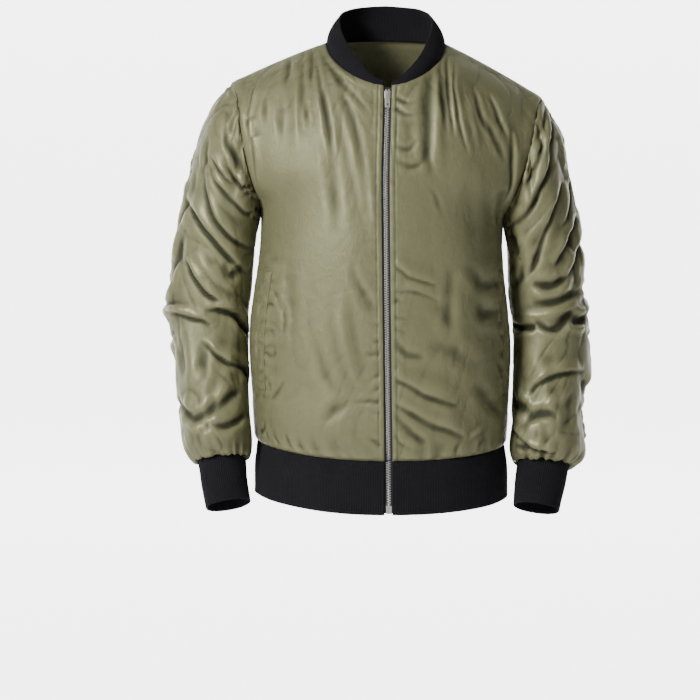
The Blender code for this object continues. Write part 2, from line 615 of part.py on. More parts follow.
def make_slider(finish, collection, helpers):
    """The slider: two plates, the post between them, and the arch that holds the pull."""
    width, plate, length = SLIDER_SIZE
    face = SLIDER_CHANNEL / 2
    size, middle = (width, plate, length), face + plate / 2
    body = box_object("zip_slider", size, (0, middle, 0), finish, collection, 0.0004)
    back = box_object("slider_back", size, (0, -middle, 0), finish, helpers, 0.0004)
    post_width, post_length = POST_SIZE
    post_middle = length / 2 - post_length / 2 - 0.0006
    post = box_object(
        "slider_post", (post_width, SLIDER_CHANNEL + plate, post_length), (0, 0, post_middle), finish, helpers
    )
    top = face + plate
    arch_length = 2 * (ARCH_HALF_SPAN + ARCH_BAR)
    arch_height = ARCH_CLEAR + ARCH_BAR
    arch = box_object(
        "slider_arch",
        (ARCH_WIDTH, arch_height + plate / 2, arch_length),
        (0, top + arch_height / 2 - plate / 4, 0),
        finish,
        helpers,
        0.0003,
    )
    gap = box_object(
        "slider_arch_gap",
        (ARCH_WIDTH * 3, ARCH_CLEAR, 2 * ARCH_HALF_SPAN),
        (0, top + ARCH_CLEAR / 2, 0),
        finish,
        helpers,
    )
    add_boolean(arch, gap, "DIFFERENCE")
    for piece in (back, post, arch):
        add_boolean(body, piece, "UNION")
    frame = slider_frame()
    for piece in (body, back, post, arch, gap):
        piece.matrix_world = frame
    return body


def make_pull(finish, collection, helpers):
    """The pull tab, hanging from the arch, with a window for the arch and an eye near its end."""
    width, thick, length = PULL_SIZE
    top = SLIDER_CHANNEL / 2 + SLIDER_SIZE[1]
    middle = (0, 0, PULL_TOP - length / 2)
    tab = box_object("zip_pull", (width, thick, length), middle, finish, collection, 0.00035)
    window_width, window_length = PULL_WINDOW
    window = box_object(
        "pull_window",
        (window_width, thick * 4, window_length),
        (0, 0, -PULL_TOP - window_length / 2),
        finish,
        helpers,
    )
    eye_width, eye_length = PULL_EYE
    eye = box_object(
        "pull_eye", (eye_width, thick * 4, eye_length), (0, 0, -length + PULL_TOP + 0.0046), finish, helpers
    )
    add_boolean(tab, window, "DIFFERENCE")
    add_boolean(tab, eye, "DIFFERENCE")
    hinge = slider_frame() @ Matrix.Translation((0.0, top + PULL_AXIS_HEIGHT, 0.0))
    for piece in (tab, window, eye):
        piece.matrix_world = hinge
    return tab


def make_zip(tape_finish, metal, collection, helpers):
    """The tapes, the two halves of the chain, the slider and pull, the top stops and the bottom box."""
    band_end = HEM_SEAM_Z - HEM_BAND_DROP
    box_top = band_end + BOX_SIZE[2] + 0.0005
    slider_top = SLIDER_Z + SLIDER_SIZE[2] / 2
    chain_top = slider_top - POST_SIZE[1] - 0.0022
    for side in (RIGHT, LEFT):
        make_strip(
            f"zip_tape_{side}", side, TAPE_INNER, TAPE_OUTER, TAPE_WALL, box_top, FRONT_NECK[1] - 0.0015,
            tape_finish, collection,
        )
        make_strip(
            f"zip_chain_{side}", side, CHAIN_HALF_GAP, CHAIN_OUTER, CHAIN_THICK, box_top, chain_top,
            metal, collection,
        )
        stop = box_object(
            f"zip_stop_{side}",
            STOP_SIZE,
            (-SIGN[side] * 0.0019, 0.0, SLIDER_SIZE[2] / 2 + STOP_SIZE[2] / 2 + 0.0004),
            metal,
            collection,
            0.0003,
        )
        stop.matrix_world = slider_frame()
    make_slider(metal, collection, helpers)
    make_pull(metal, collection, helpers)
    points, out = line_at(np.array([band_end + BOX_SIZE[2] / 2]))
    box = box_object("zip_box", BOX_SIZE, (0, 0, 0), metal, collection, 0.0005)
    box.location = Vector(points[0] - out[0] * TAPE_DEPTH)


def main():
    """Clears the scene and builds every piece."""
    for old in list(bpy.data.objects):
        bpy.data.objects.remove(old)
    collection = bpy.data.collections.new("bomber_jacket")
    helpers = bpy.data.collections.new("cutters")
    for made in (collection, helpers):
        bpy.context.scene.collection.children.link(made)
    shell = material("olive_shell", OLIVE, 0.45)
    rib = material("black_rib", RIB_BLACK, 0.9)
    tape = material("zip_tape", TAPE_GREY, 0.85)
    metal = material("zip_metal", METAL, 0.3, 1.0)
    for side in (RIGHT, LEFT):
        make_front(side, shell, collection)
        make_sleeve(side, shell, collection)
        make_cuff(side, rib, collection)
        make_welt(side, shell, collection)
    make_back(shell, collection)
    make_collar(rib, collection)
    make_hem_band(rib, collection)
    make_zip(tape, metal, collection, helpers)


main()
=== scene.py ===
"""The looks of a bomber jacket: glossy olive cloth, black rib knit and a metal zip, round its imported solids.

Units are metres, +Z is up and the jacket faces -Y. "right" and "left" are the wearer's, so right is at -X.
The tables of sections, rings and creases are in millimetres.
"""

import logging
import math
from dataclasses import dataclass, field
from enum import Enum

import bpy
import numpy as np
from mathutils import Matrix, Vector


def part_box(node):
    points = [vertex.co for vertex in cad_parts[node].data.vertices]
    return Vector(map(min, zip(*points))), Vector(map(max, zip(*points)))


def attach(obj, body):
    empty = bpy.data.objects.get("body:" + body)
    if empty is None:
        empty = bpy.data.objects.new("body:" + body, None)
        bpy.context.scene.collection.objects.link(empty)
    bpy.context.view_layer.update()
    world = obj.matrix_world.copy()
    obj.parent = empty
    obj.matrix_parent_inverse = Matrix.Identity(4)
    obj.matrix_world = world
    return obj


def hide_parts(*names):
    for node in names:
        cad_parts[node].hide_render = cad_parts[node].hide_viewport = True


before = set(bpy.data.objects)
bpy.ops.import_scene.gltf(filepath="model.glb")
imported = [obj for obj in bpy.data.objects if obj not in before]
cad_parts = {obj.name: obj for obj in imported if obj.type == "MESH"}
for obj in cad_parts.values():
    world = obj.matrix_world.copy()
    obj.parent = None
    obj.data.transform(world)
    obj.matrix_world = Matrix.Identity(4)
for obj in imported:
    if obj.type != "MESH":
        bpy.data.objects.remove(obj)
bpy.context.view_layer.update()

log = logging.getLogger("jacket")

Array = np.ndarray
Object = bpy.types.Object
Material = bpy.types.Material
Socket = bpy.types.NodeSocket
Triple = tuple[float, float, float]


# ---------------------------------------------------------------- named choices
class Side(Enum):
    """The wearer's side that a piece is on."""

    RIGHT = "right"
    LEFT = "left"

    @property
    def sign(self) -> float:
        """The side's sign along X."""
        return -1.0 if self is Side.RIGHT else 1.0


class Face(Enum):
    """Whether a panel is in front of the body or behind it."""

    FRONT = "front"
    BACK = "back"


class View(Enum):
    """The side from which a crease is laid out, as the axes that run across and out and the sign of out."""

    FRONT = (0, 1, -1.0)
    BACK = (0, 1, 1.0)
    RIGHT = (1, 0, -1.0)
    LEFT = (1, 0, 1.0)


class Fold(Enum):
    """The cross-section of a crease."""

    TROUGH = "a valley between two low ridges"
    RIDGE = "a ridge between two low valleys"
    TUCK = "a ridge that is steep on one side and fades on the other"
    OVER = "a tuck whose steep side is the other one"


class Taper(Enum):
    """How a crease's depth runs from its first end to its last."""

    BOTH = "fades at both ends"
    START = "deepest at its first end, as where it leaves a seam"
    SOFT = "long and even, fading slowly at both ends"


# ---------------------------------------------------------------- the jacket's form, as in its solids
@dataclass(frozen=True)
class Section:
    """Half a panel's level section, from the middle line out to its side point on either side."""

    mid_z: float
    mid_y: float
    right_x: float
    left_x: float
    side_y: float
    right_z: float
    left_z: float
    flat: float
    round_x: float
    round_y: float
    round_z: float


@dataclass(frozen=True)
class Ring:
    """A ring of a sleeve or cuff, by its outer and inner points, middle, half depth and tilt."""

    outer_x: float
    outer_z: float
    inner_x: float
    inner_z: float
    mid_y: float
    half_depth: float
    tilt: float

    @property
    def square(self) -> float:
        """How square the ring is, where 2 is an ellipse: a cuff's shallow ring is squarer than a sleeve's."""
        return 2.2 if self.half_depth < 0.04 else 2.1


SECTIONS = {
    Face.FRONT: [
        (-594, -137, 186, 172.5, 0, -579, -585, 105, 0, 80, 0),
        (-572, -147, 190.5, 176, 0, -556, -562, 110, 0, 88, 0),
        (-515, -150, 193, 179, 0, -510, -513, 112, 0, 90, 0),
        (-440, -150, 196, 181.5, 0, -445, -445, 112, 0, 90, 0),
        (-360, -147, 191, 175, 0, -375, -378, 112, 0, 86, 0),
        (-290, -142, 181, 167.5, 0, -308, -315, 112, 0, 80, 0),
        (-225, -134, 179, 168, 0, -245, -260, 112, 0, 72, 0),
        (-185, -126, 188, 179, -42, -216, -233, 105, 12, 52, 0),
        (-150, -116, 200, 196, -60, -169, -185, 100, 50, 40, 0),
        (-115, -104, 208.5, 208.5, -50, -116, -134, 95, 70, 34, 10),
        (-88, -91, 216.5, 218, -21, -77, -97, 80, 90, 10, 50),
    ],
    Face.BACK: [
        (-590, 126, 186, 172.5, 0, -579, -585, 105, 0, 74, 0),
        (-567, 137, 190.5, 176, 0, -556, -562, 110, 0, 82, 0),
        (-513, 138, 193, 179, 0, -510, -513, 112, 0, 82, 0),
        (-440, 132, 196, 181.5, 0, -445, -445, 112, 0, 80, 0),
        (-360, 131, 191, 175, 0, -375, -378, 112, 0, 80, 0),
        (-290, 136, 181, 167.5, 0, -308, -315, 112, 0, 80, 0),
        (-225, 139, 179, 168, 0, -245, -260, 112, 0, 78, 0),
        (-175, 137, 189, 180, 46, -214, -231, 110, 12, 60, 0),
        (-125, 128, 202, 199, 74, -165, -180, 110, 50, 36, 0),
        (-76, 112, 211, 212, 64, -110, -128, 95, 75, 22, 12),
        (-33, 90, 218, 220, 26, -74, -94, 66, 100, 12, 44),
    ],
}
ARMPIT = 6  # the section that ends in the armpit
CORNER = {Face.FRONT: 7, Face.BACK: 6}  # the column where neckline turns into shoulder seam
SHOULDER_COLUMNS = 6
COLUMN_RUNS = {  # columns in which a half panel's are evenly spaced, and how many there are in each run
    Face.FRONT: ((0, 0.62, 7, 12.8, 13), (0, 15, 49, 45, 4)),  # close at the zip's fold and the side seam
    Face.BACK: ((0, 6, 11.8, 12), (0, 35, 37, 4)),
}
SIDE_BLEND = 0.25
SHOULDER_TIP = {Side.RIGHT: (-0.2215, 0.0, -0.0640), Side.LEFT: (0.2235, 0.0, -0.0850)}
NECK_POINT = {Side.RIGHT: (-0.0855, 0.0, -0.0070), Side.LEFT: (0.0845, 0.0, -0.0080)}
FRONT_NECK = (-0.0850, -0.0715)
BACK_NECK = (0.0660, 0.0010)
NECK_AXIS_Y = -0.006
ZIP_OPENING = 0.0062
ZIP_LINE = ((-60, 1.5), (-200, -2.5), (-330, -1.5), (-450, 0), (-600, 2), (-680, 3))  # height, side shift
SLEEVE_RINGS = {
    Side.RIGHT: [
        (246, -90, 185, -261, 10, 72, 0), (268, -130, 190, -282, 11, 70, 4),
        (281.5, -185, 193.5, -306, 12, 67, 6), (296.5, -250, 196, -332, 14, 66, 8),
        (308.5, -325, 198.5, -365, 15, 64, 6), (318, -386, 203, -393, 12, 61, 0),
        (309, -430, 203, -430, 4, 60, -10), (303, -495, 201, -495, -12, 58, -16),
        (296, -548, 197.5, -545, -26, 56, -18), (288, -587, 195.5, -582, -36, 53, -18),
        (270.5, -606, 201, -600, -41, 31, -12),
    ],
    Side.LEFT: [
        (240, -112, 174.5, -276, 10, 71, 0), (257, -156, 179, -296, 11, 69, 4),
        (267, -212, 180.5, -318, 12, 66, 6), (277.5, -270, 181, -340, 14, 65, 8),
        (283.5, -330, 181.5, -368, 14, 63, 6), (293.5, -398, 187.5, -402, 10, 60, 0),
        (296, -450, 188.5, -448, 2, 60, -10), (285, -510, 186.5, -506, -14, 58, -16),
        (284.5, -558, 183.5, -554, -26, 57, -18), (283.5, -597, 180.5, -590, -36, 55, -18),
        (263.5, -612, 189, -606, -41, 32, -12),
    ],
}
CUFF_RINGS = {
    Side.RIGHT: [
        (270.5, -606.4, 201, -600.4, -41, 31, -12), (264.5, -640, 198.5, -632, -49, 30, -12),
        (258, -672, 194, -661, -56, 29, -12),
    ],
    Side.LEFT: [
        (263.5, -612.4, 189, -606.4, -41, 32, -12), (256, -645, 185, -637, -49, 31, -12),
        (248, -676, 183, -666, -56, 30, -12),
    ],
}
COLLAR_STANDS = (  # share of the way from zip to mid back, rise, lean
    (0.00, 0.0030, 0.0010), (0.12, 0.0190, 0.0070), (0.28, 0.0330, 0.0130),
    (0.52, 0.0370, 0.0190), (0.75, 0.0450, 0.0130), (1.00, 0.0470, 0.0100),
)
BAND_DROP = 0.0735
BAND_PROFILE = ((0.0, 0.0), (0.45, 0.0035), (1.0, 0.0050))  # share of its drop, how far out it stands
WELT_TOP_Z, WELT_BOTTOM_Z = -0.335, -0.500
WELT_FROM_SIDE = {Side.RIGHT: (0.080, 0.084), Side.LEFT: (0.066, 0.064)}  # at its bottom and at its top
WELT_WIDTH = 0.018
PLACKET_STITCHES = 0.0068  # how far from a front's zip edge it is stitched down
PROUD = 0.0001  # how far a thread's middle stands out of the cloth
RIB_PITCH, RIB_DEPTH, COLUMNS_PER_RIB = 0.0023, 0.00042, 4


# ---------------------------------------------------------------- numbers on lines and grids
def unit(vectors: Array) -> Array:
    """Vectors over their lengths."""
    return vectors / np.maximum(np.linalg.norm(vectors, axis=-1, keepdims=True), 1e-12)


def ease(value: Array) -> Array:
    """A smooth step from 0 to 1, clipped outside."""
    t = np.clip(value, 0.0, 1.0)
    return t * t * (3 - 2 * t)


def bell(value: Array) -> Array:
    """The Gaussian bell, 1 at 0."""
    return np.exp(-np.square(value))


def reach_along(line: Array) -> Array:
    """Each point's distance along a line."""
    return np.concatenate([[0.0], np.cumsum(np.linalg.norm(np.diff(line, axis=0), axis=1))])


def read_at(wanted: Array, places: Array, rows: Array) -> Array:
    """Reads rows that stand at rising places at the wanted ones, straight between its neighbours."""
    return np.stack([np.interp(wanted, places, column) for column in rows.T], axis=1)


def bezier(start: Array, leave: Array, arrive: Array, end: Array, share: Array) -> Array:
    """Points of a cubic Bezier at shares from 0 to 1.

    Args:
        start: The first point.
        leave: How far from it its control point is.
        arrive: How far from the last point its control point is.
        end: The last point.
        share: Where along the curve to read it.

    Returns:
        One row for each share.
    """
    t, start, end = share[:, None], np.asarray(start), np.asarray(end)
    near, far = 3 * (start + leave) * t * (1 - t) ** 2, 3 * (end + arrive) * t**2 * (1 - t)
    return start * (1 - t) ** 3 + near + far + end * t**3


def spline_rows(rows: Array, places: Array) -> Array:
    """Runs a natural cubic spline down each column of rows, spaced by length.

    Args:
        rows: Control points, as (row, column, xyz).
        places: Where to read the spline, counted in rows, so 2.5 is halfway from row 2 to row 3.

    Returns:
        The points read, as (place, column, xyz).
    """
    count, columns = rows.shape[:2]
    gap = np.linalg.norm(np.diff(rows, axis=0), axis=2)
    slope = np.diff(rows, axis=0) / gap[:, :, None]
    matrix = np.zeros((columns, count, count))
    wanted = np.zeros((columns, count, 3))
    matrix[:, 0, 0] = matrix[:, -1, -1] = 1.0
    for k in range(1, count - 1):
        matrix[:, k, k - 1] = gap[k - 1]
        matrix[:, k, k] = 2 * (gap[k - 1] + gap[k])
        matrix[:, k, k + 1] = gap[k]
        wanted[:, k] = 6 * (slope[k] - slope[k - 1])
    bend = np.linalg.solve(matrix, wanted).transpose(1, 0, 2)
    span = np.clip(np.floor(places).astype(int), 0, count - 2)
    b = (places - span)[:, None, None]
    a = 1 - b
    curved = (a**3 - a) * bend[span] + (b**3 - b) * bend[span + 1]
    return a * rows[span] + b * rows[span + 1] + curved * gap[span][:, :, None] ** 2 / 6


def places_at(rows: Array, shares: Array) -> Array:
    """Places down rows at shares of the mean length of their columns, counted in rows."""
    steps = np.linalg.norm(np.diff(rows, axis=0), axis=2).mean(axis=1)
    reach = np.concatenate([[0.0], np.cumsum(steps)])
    return np.interp(shares * reach[-1], reach, np.arange(len(rows)))


def shares_with_ends(count: int, low: bool = True, high: bool = True) -> Array:
    """Even shares from 0 to 1, with closer ones at the chosen ends for a seam's dip to bend at."""
    extra = np.array([0.25, 0.5, 0.75, 1.5]) / count
    parts = [np.linspace(0, 1, count + 1)] + [extra] * low + [1 - extra] * high
    return np.unique(np.round(np.concatenate(parts), 9))


def spread(values: Array, picks: Array, count: int, wrap: bool) -> Array:
    """Reads rows given at some places of a longer run at all of its places, with Catmull-Rom weights.

    Args:
        values: One row for each pick.
        picks: Where those rows stand in the longer run.
        count: The longer run's length.
        wrap: Whether the run closes on itself.

    Returns:
        One row for each place.
    """
    last = len(picks)
    at = np.append(picks, count) if wrap else picks
    place = np.interp(np.arange(count), at, np.arange(len(at)))
    low = np.clip(np.floor(place).astype(int), 0, len(at) - 2)
    t = (place - low).reshape(-1, *[1] * (values.ndim - 1))
    four = (-t + 2 * t**2 - t**3, 2 - 5 * t**2 + 3 * t**3, t + 4 * t**2 - 3 * t**3, t**3 - t**2)
    read = [(low + k) % last if wrap else np.clip(low + k, 0, last - 1) for k in (-1, 0, 1, 2)]
    return sum(weight * values[rows] for weight, rows in zip(four, read)) / 2


@dataclass(frozen=True)
class Noise:
    """Seeded gradient noise in space: random slopes on a cubic lattice, blended by a quintic curve."""

    seed: int
    size: int = 32

    def at(self, points: Array) -> Array:
        """Reads the noise, about -1 to 1, at points counted in lattice cells."""
        slopes = unit(np.random.default_rng(self.seed).normal(size=(self.size**3, 3)))
        low = np.floor(points).astype(int)
        part = points - low
        blend = part**3 * (part * (part * 6 - 15) + 10)
        total = np.zeros(points.shape[:-1])
        for corner in np.ndindex(2, 2, 2):
            cell = (low + corner) % self.size
            slope = slopes[(cell[..., 0] * self.size + cell[..., 1]) * self.size + cell[..., 2]]
            share = np.where(corner, blend, 1 - blend).prod(axis=-1)
            total += share * (slope * (part - corner)).sum(axis=-1)
        return total * 1.6


# ---------------------------------------------------------------- lines of the form
def zip_x(height: Array) -> Array:
    """How far the zip's middle line stands to the side at each height."""
    heights, shifts = np.array(ZIP_LINE).T / 1000
    return np.interp(-np.asarray(height), -heights, shifts)


def section_curve(section: Section, side: Side, shares: Array, edge: float) -> Array:
    """A panel's section on one side, a Bezier from edge metres off the middle line to the side point."""
    right = side is Side.RIGHT
    side_x = section.right_x if right else section.left_x
    side_z = section.right_z if right else section.left_z
    middle = float(zip_x(section.mid_z)) + side.sign * edge if edge else 0.0
    leave = (side.sign * section.flat, 0.0, section.round_z * 0.35)
    arrive = (-side.sign * section.round_x, math.copysign(section.round_y, section.mid_y), section.round_z)
    start, end = (middle, section.mid_y, section.mid_z), (side.sign * side_x, section.side_y, side_z)
    return bezier(start, leave, arrive, end, shares)


def neckline(side: Side, face: Face, shares: Array) -> Array:
    """The neckline from the middle line to the top of the shoulder seam."""
    sign = side.sign
    if face is Face.FRONT:
        start = (float(zip_x(FRONT_NECK[1])) + sign * ZIP_OPENING, *FRONT_NECK)
        leave, arrive = (sign * 0.048, -0.004, 0.006), (sign * 0.002, -0.034, -0.022)
    else:
        start = (0.0, *BACK_NECK)
        leave, arrive = (sign * 0.042, 0.0, 0.0), (sign * -0.002, 0.040, 0.003)
    return bezier(start, leave, arrive, NECK_POINT[side], shares)


def shoulder_seam(side: Side, shares: Array) -> Array:
    """The shoulder seam from the collar to the tip of the shoulder, bowed up a little."""
    start, end = np.array(NECK_POINT[side]), np.array(SHOULDER_TIP[side])
    third, bow = (end - start) / 3, np.array([0.0, 0.0, 0.0035])
    return bezier(start, third + bow, bow - third, end, shares)


def ring_curves(rings: list[tuple[float, ...]], side: Side, angles: Array) -> Array:
    """Rings at each angle, as rounded ellipses: 0 is outer, a quarter turn the front, a half turn inner."""
    curves = []
    for ring in (Ring(*row) for row in np.array(rings) / 1000):
        outer = np.array([side.sign * ring.outer_x, ring.mid_y, ring.outer_z])
        inner = np.array([side.sign * ring.inner_x, ring.mid_y, ring.inner_z])
        waves = np.cos(angles), np.sin(angles)
        along, front = (np.sign(wave) * np.abs(wave) ** (2 / ring.square) for wave in waves)
        points = (outer + inner) / 2 + along[:, None] * (outer - inner) / 2
        curves.append(points - front[:, None] * [0.0, ring.half_depth, ring.tilt])
    return np.array(curves)


@dataclass(frozen=True)
class Crease:
    """A fold placed between two given points (across, z) as seen from a side, bowed sideways by bow."""

    start: Array
    end: Array
    bow: float
    width: float
    depth: float
    fold: Fold
    taper: Taper
    view: View

    def profile(self, q: Array) -> Array:
        """The fold's height over its depth, at distances counted in widths, signed by side."""
        if self.fold is Fold.TROUGH:
            return -bell(q) + 0.40 * (bell(q - 1.8) + bell(q + 1.8))
        if self.fold is Fold.RIDGE:
            return bell(q) - 0.28 * (bell(q - 1.9) + bell(q + 1.9))
        q = q if self.fold is Fold.TUCK else -q
        return np.where(q > 0, bell(q / 0.5), bell(q / 1.7)) - 0.65 * bell((q - 1.05) / 0.55)

    def envelope(self, share: Array) -> Array:
        """How much of its depth the fold has at each share of its length."""
        t = np.clip(share, 0.0, 1.0)
        if self.taper is Taper.START:
            return ease(t / 0.06) * (1 - t) ** 0.8
        return np.sin(np.pi * t) ** (0.55 if self.taper is Taper.BOTH else 1.1)


# ---------------------------------------------------------------- cloth on a grid
@dataclass
class Sheet:
    """A piece of cloth on a grid of points whose rows run up and whose columns run round anticlockwise.

    Attributes:
        grid: Points of its outer side before folding, as (row, column, xyz).
        tube: Whether its last column joins its first.
        seed: Seeds all that is uneven in it.
        height: How far each point is moved out along its normal.
        across: Each point's distance along its row, and along: up its column.
        girth: A tube's length round.
    """

    name: str
    grid: Array
    tube: bool
    seed: int
    height: Array = field(init=False)
    normals: Array = field(init=False)
    across: Array = field(init=False)
    along: Array = field(init=False)
    girth: float = field(init=False, default=0.0)

    def __post_init__(self) -> None:
        """Starts without folds."""
        self.height = np.zeros(self.grid.shape[:2])
        self.measure()

    def measure(self) -> None:
        """Works out the normals, and each point's distance along its row and its column."""
        grid = self.grid
        if self.tube:
            beside = np.roll(grid, -1, axis=1)
            over = (beside - np.roll(grid, 1, axis=1)) / 2
            step = np.linalg.norm(beside - grid, axis=2).mean(axis=0)
            self.girth = float(step.sum())
            self.across = np.tile(np.cumsum(step) - step, (len(grid), 1))
        else:
            over = np.gradient(grid, axis=1)
            step = np.linalg.norm(np.diff(grid, axis=1), axis=2)
            self.across = np.pad(np.cumsum(step, axis=1), ((0, 0), (1, 0)))
        step = np.linalg.norm(np.diff(grid, axis=0), axis=2)
        self.along = np.pad(np.cumsum(step, axis=0), ((1, 0), (0, 0)))
        self.normals = unit(np.cross(over, np.gradient(grid, axis=0)))

    @property
    def below(self) -> Array:
        """Each point's distance from the sheet's lower edge."""
        return self.along

    @property
    def above(self) -> Array:
        """Each point's distance from the sheet's upper edge."""
        return self.along[-1:] - self.along

    @property
    def first(self) -> Array:
        """Each point's distance from its first column."""
        return self.across

    @property
    def last(self) -> Array:
        """Each point's distance from its last column."""
        return self.across[:, -1:] - self.across

    @property
    def edge(self) -> Array:
        """Each point's distance from the nearest edge."""
        edges = [self.below, self.above] + ([] if self.tube else [self.first, self.last])
        return np.minimum.reduce(edges)

    def folded(self) -> Array:
        """The outer points, moved out by the height."""
        return self.grid + self.normals * self.height[..., None]

    def trace(self, crease: Crease) -> Array:
        """A crease's line on the sheet, its third coordinate read from the nearest points that face it."""
        over, out, facing = crease.view.value
        share = np.linspace(0, 1, 28)[:, None]
        ahead = crease.end - crease.start
        turned = unit(np.array([-ahead[1], ahead[0]]))
        line = crease.start + ahead * share + turned * crease.bow * 4 * share * (1 - share)
        points = self.grid[self.normals[..., out] * facing > 0.05]
        gap = np.linalg.norm(line[:, None] - points[None][..., [over, 2]], axis=2)
        near = np.argpartition(gap, 6, axis=1)[:, :6]
        close = np.take_along_axis(gap, near, axis=1)
        weight = 1 / (close + 2e-4) ** 2
        found = (points[near] * weight[..., None]).sum(axis=1) / weight.sum(axis=1)[:, None]
        on_sheet = close.min(axis=1) < 0.004
        found[on_sheet, over], found[on_sheet, 2] = line[on_sheet].T
        return found

    def fold(self, crease: Crease, order: int) -> None:
        """Adds one crease: its profile across times its envelope along, both made uneven by seeded noise.

        Args:
            crease: The crease.
            order: Its number, which seeds its unevenness.
        """
        line = self.trace(crease)
        reach = crease.width * 4.2
        near = ((self.grid > line.min(axis=0) - reach) & (self.grid < line.max(axis=0) + reach)).all(axis=2)
        points, normals = self.grid[near], self.normals[near]
        if not len(points):
            return
        step = np.diff(line, axis=0)
        to_point = points[:, None] - line[None, :-1]
        t = np.clip((to_point * step).sum(axis=2) / np.maximum((step**2).sum(axis=1), 1e-12), 0, 1)
        foot = to_point - t[..., None] * step
        gap = np.linalg.norm(foot, axis=2)
        best = gap.argmin(axis=1)
        pick = np.arange(len(points)), best
        t, gap, foot = t[pick], gap[pick], foot[pick]
        share = (best + t) / len(step)
        side = np.sign((np.cross(step[best], normals) * foot).sum(axis=1))
        noise = Noise(self.seed * 100 + order, 16)
        on_line = np.stack([share * 3.1, share * 0 + order * 0.37, share * 0], axis=1)
        uneven = 1 + 0.45 * noise.at(on_line)
        wobble = noise.at(on_line * [0.9, 1, 1] + [7.3, 0, 0]) * crease.width * 0.35
        envelope = crease.envelope(share)
        width = crease.width * (0.75 + 0.25 * envelope) * (1 + 0.25 * noise.at(on_line + 3.9))
        past = (t <= 0) & (best == 0) | (t >= 1) & (best == len(step) - 1)
        fade = np.where(past, bell(gap / crease.width), 1.0)
        profile = crease.profile((gap * side + wobble) / width)
        self.height[near] += crease.depth * envelope * uneven * profile * fade

    def fold_all(self, creases: list[Crease], first: int) -> None:
        """Adds creases, numbered from first."""
        for order, crease in enumerate(creases, first):
            self.fold(crease, order)

    def crumple(
        self, size: float, depth: float, stretch: Triple, mask: Array, seed: int | None = None
    ) -> None:
        """Adds seeded crumples that run through space, so they don't stop at a tube's seam.

        Args:
            size: The distance between folds.
            depth: Their depth.
            stretch: The direction that folds run along; its length says how much longer than wide they are.
            mask: How strong they are at each point.
            seed: Added to the sheet's seed for narrow creases; without one the cloth rolls softly.
        """
        longer = np.linalg.norm(stretch)
        direction = np.array(stretch) / longer
        lengthwise = (self.grid * direction).sum(axis=2, keepdims=True) * direction
        cells = (self.grid - lengthwise * (1 - 1 / longer)) / size
        base = self.seed * 10 + (seed or 0)
        warp = np.stack([Noise(base + k).at(cells * 0.5) for k in (1, 2, 3)], axis=-1)
        value = Noise(base).at(cells + warp * 0.9)
        if seed:
            value = -np.clip(1 - np.abs(value) * 2.6, -0.4, 1) ** 3
        self.height += depth * value * mask

    def gather(self, distance: Array, spacing: float, depth: float, fade: float, seed: int) -> None:
        """Adds pleats that start at an edge and fade away from it, unevenly spaced along the edge.

        Args:
            distance: Each point's distance from that edge.
            spacing: The mean distance between pleats.
            depth: Their depth.
            fade: How far they reach.
            seed: Added to the sheet's seed.
        """
        place = np.stack([self.across, 0 * self.across, distance * 0.10], axis=-1)
        if self.tube:
            radius = self.girth / (2 * np.pi)
            place[..., 0] = np.cos(self.across / radius) * radius
            place[..., 1] = np.sin(self.across / radius) * radius
        noise, other = Noise(self.seed * 10 + seed), Noise(self.seed * 10 + seed + 1)
        pleats = np.clip(1 - np.abs(noise.at(place / spacing / 1.6)) * 3.2, -1, 1)
        longer = fade * (1 + 0.7 * other.at(place / spacing / 3))
        self.height += depth * pleats * ease(distance / 0.004) * bell(distance / longer)

    def pucker(self, distance: Array, spacing: float, depth: float, reach: float, seed: int) -> None:
        """Adds short puckers square to a seam or a row of stitches, fading over reach; see gather."""
        place = self.grid * [0.35, 0.35, 1.0] / spacing
        first = self.seed * 10 + seed
        value = Noise(first).at(place) + 0.5 * Noise(first + 1).at(place * 2.1)
        self.height += depth * value * ease(distance / 0.002) * np.exp(-distance / reach)

    def seam(self, distance: Array, dip: float = 0.0009) -> None:
        """Turns the cloth in along a seam and lets it swell a little beside the seam."""
        self.height += -dip * np.exp(-distance / 0.0022) + 0.0008 * bell((distance - 0.009) / 0.007)

    def settle(self, limit: float, keep: float = 0.006) -> None:
        """Limits the folds softly to a depth, and brings them to nothing at the sheet's sewn edges."""
        self.height = limit * np.tanh(self.height / limit)
        open_share = ease(self.edge / keep)
        seam = np.maximum(np.minimum(self.height, 0) * bell(self.edge / 0.0025), -0.0009)
        self.height = self.height * open_share + seam * (1 - open_share)

    def depths_for_painted_shade(self, cells: int = 5, full: float = 0.0026) -> Array:
        """How deep each point lies below the cloth around it, 0 to 1, or below 0 where it stands above; it
        masks the shell's painted shade in folds and painted highlight on ridges.

        Args:
            cells: How many rows and columns away "around" is.
            full: The depth that counts as 1.

        Returns:
            A value for each point.
        """
        mean = self.height
        kernel = bell(np.linspace(-2, 2, 4 * cells + 1))
        kernel /= kernel.sum()
        for axis, wrap in ((0, False), (1, self.tube)):
            pad = [(2 * cells * (k == axis),) * 2 for k in (0, 1)]
            wide = np.pad(mean, pad, "wrap" if wrap else "edge")
            span = np.arange(mean.shape[axis])
            mean = sum(share * np.take(wide, span + at, axis=axis) for at, share in enumerate(kernel))
        return np.clip((mean - self.height) / full, -0.6, 1)


# ---------------------------------------------------------------- meshes
def mesh_object(name: str, points: Array, faces: list[list[int]]) -> Object:
    """A smooth mesh object at the origin from points and faces."""
    mesh = bpy.data.meshes.new(name)
    mesh.from_pydata(points.reshape(-1, 3).tolist(), [], faces)
    mesh.shade_smooth()
    made = bpy.data.objects.new(name, mesh)
    bpy.context.scene.collection.objects.link(made)
    return made


def quads(number: Array, wrap: bool) -> Array:
    """The faces of a grid of point numbers, anticlockwise seen from outside, joined round if it wraps."""
    here, beside = (number, np.roll(number, -1, axis=1)) if wrap else (number[:, :-1], number[:, 1:])
    return np.stack([here[:-1], beside[:-1], beside[1:], here[1:]], axis=-1).reshape(-1, 4)


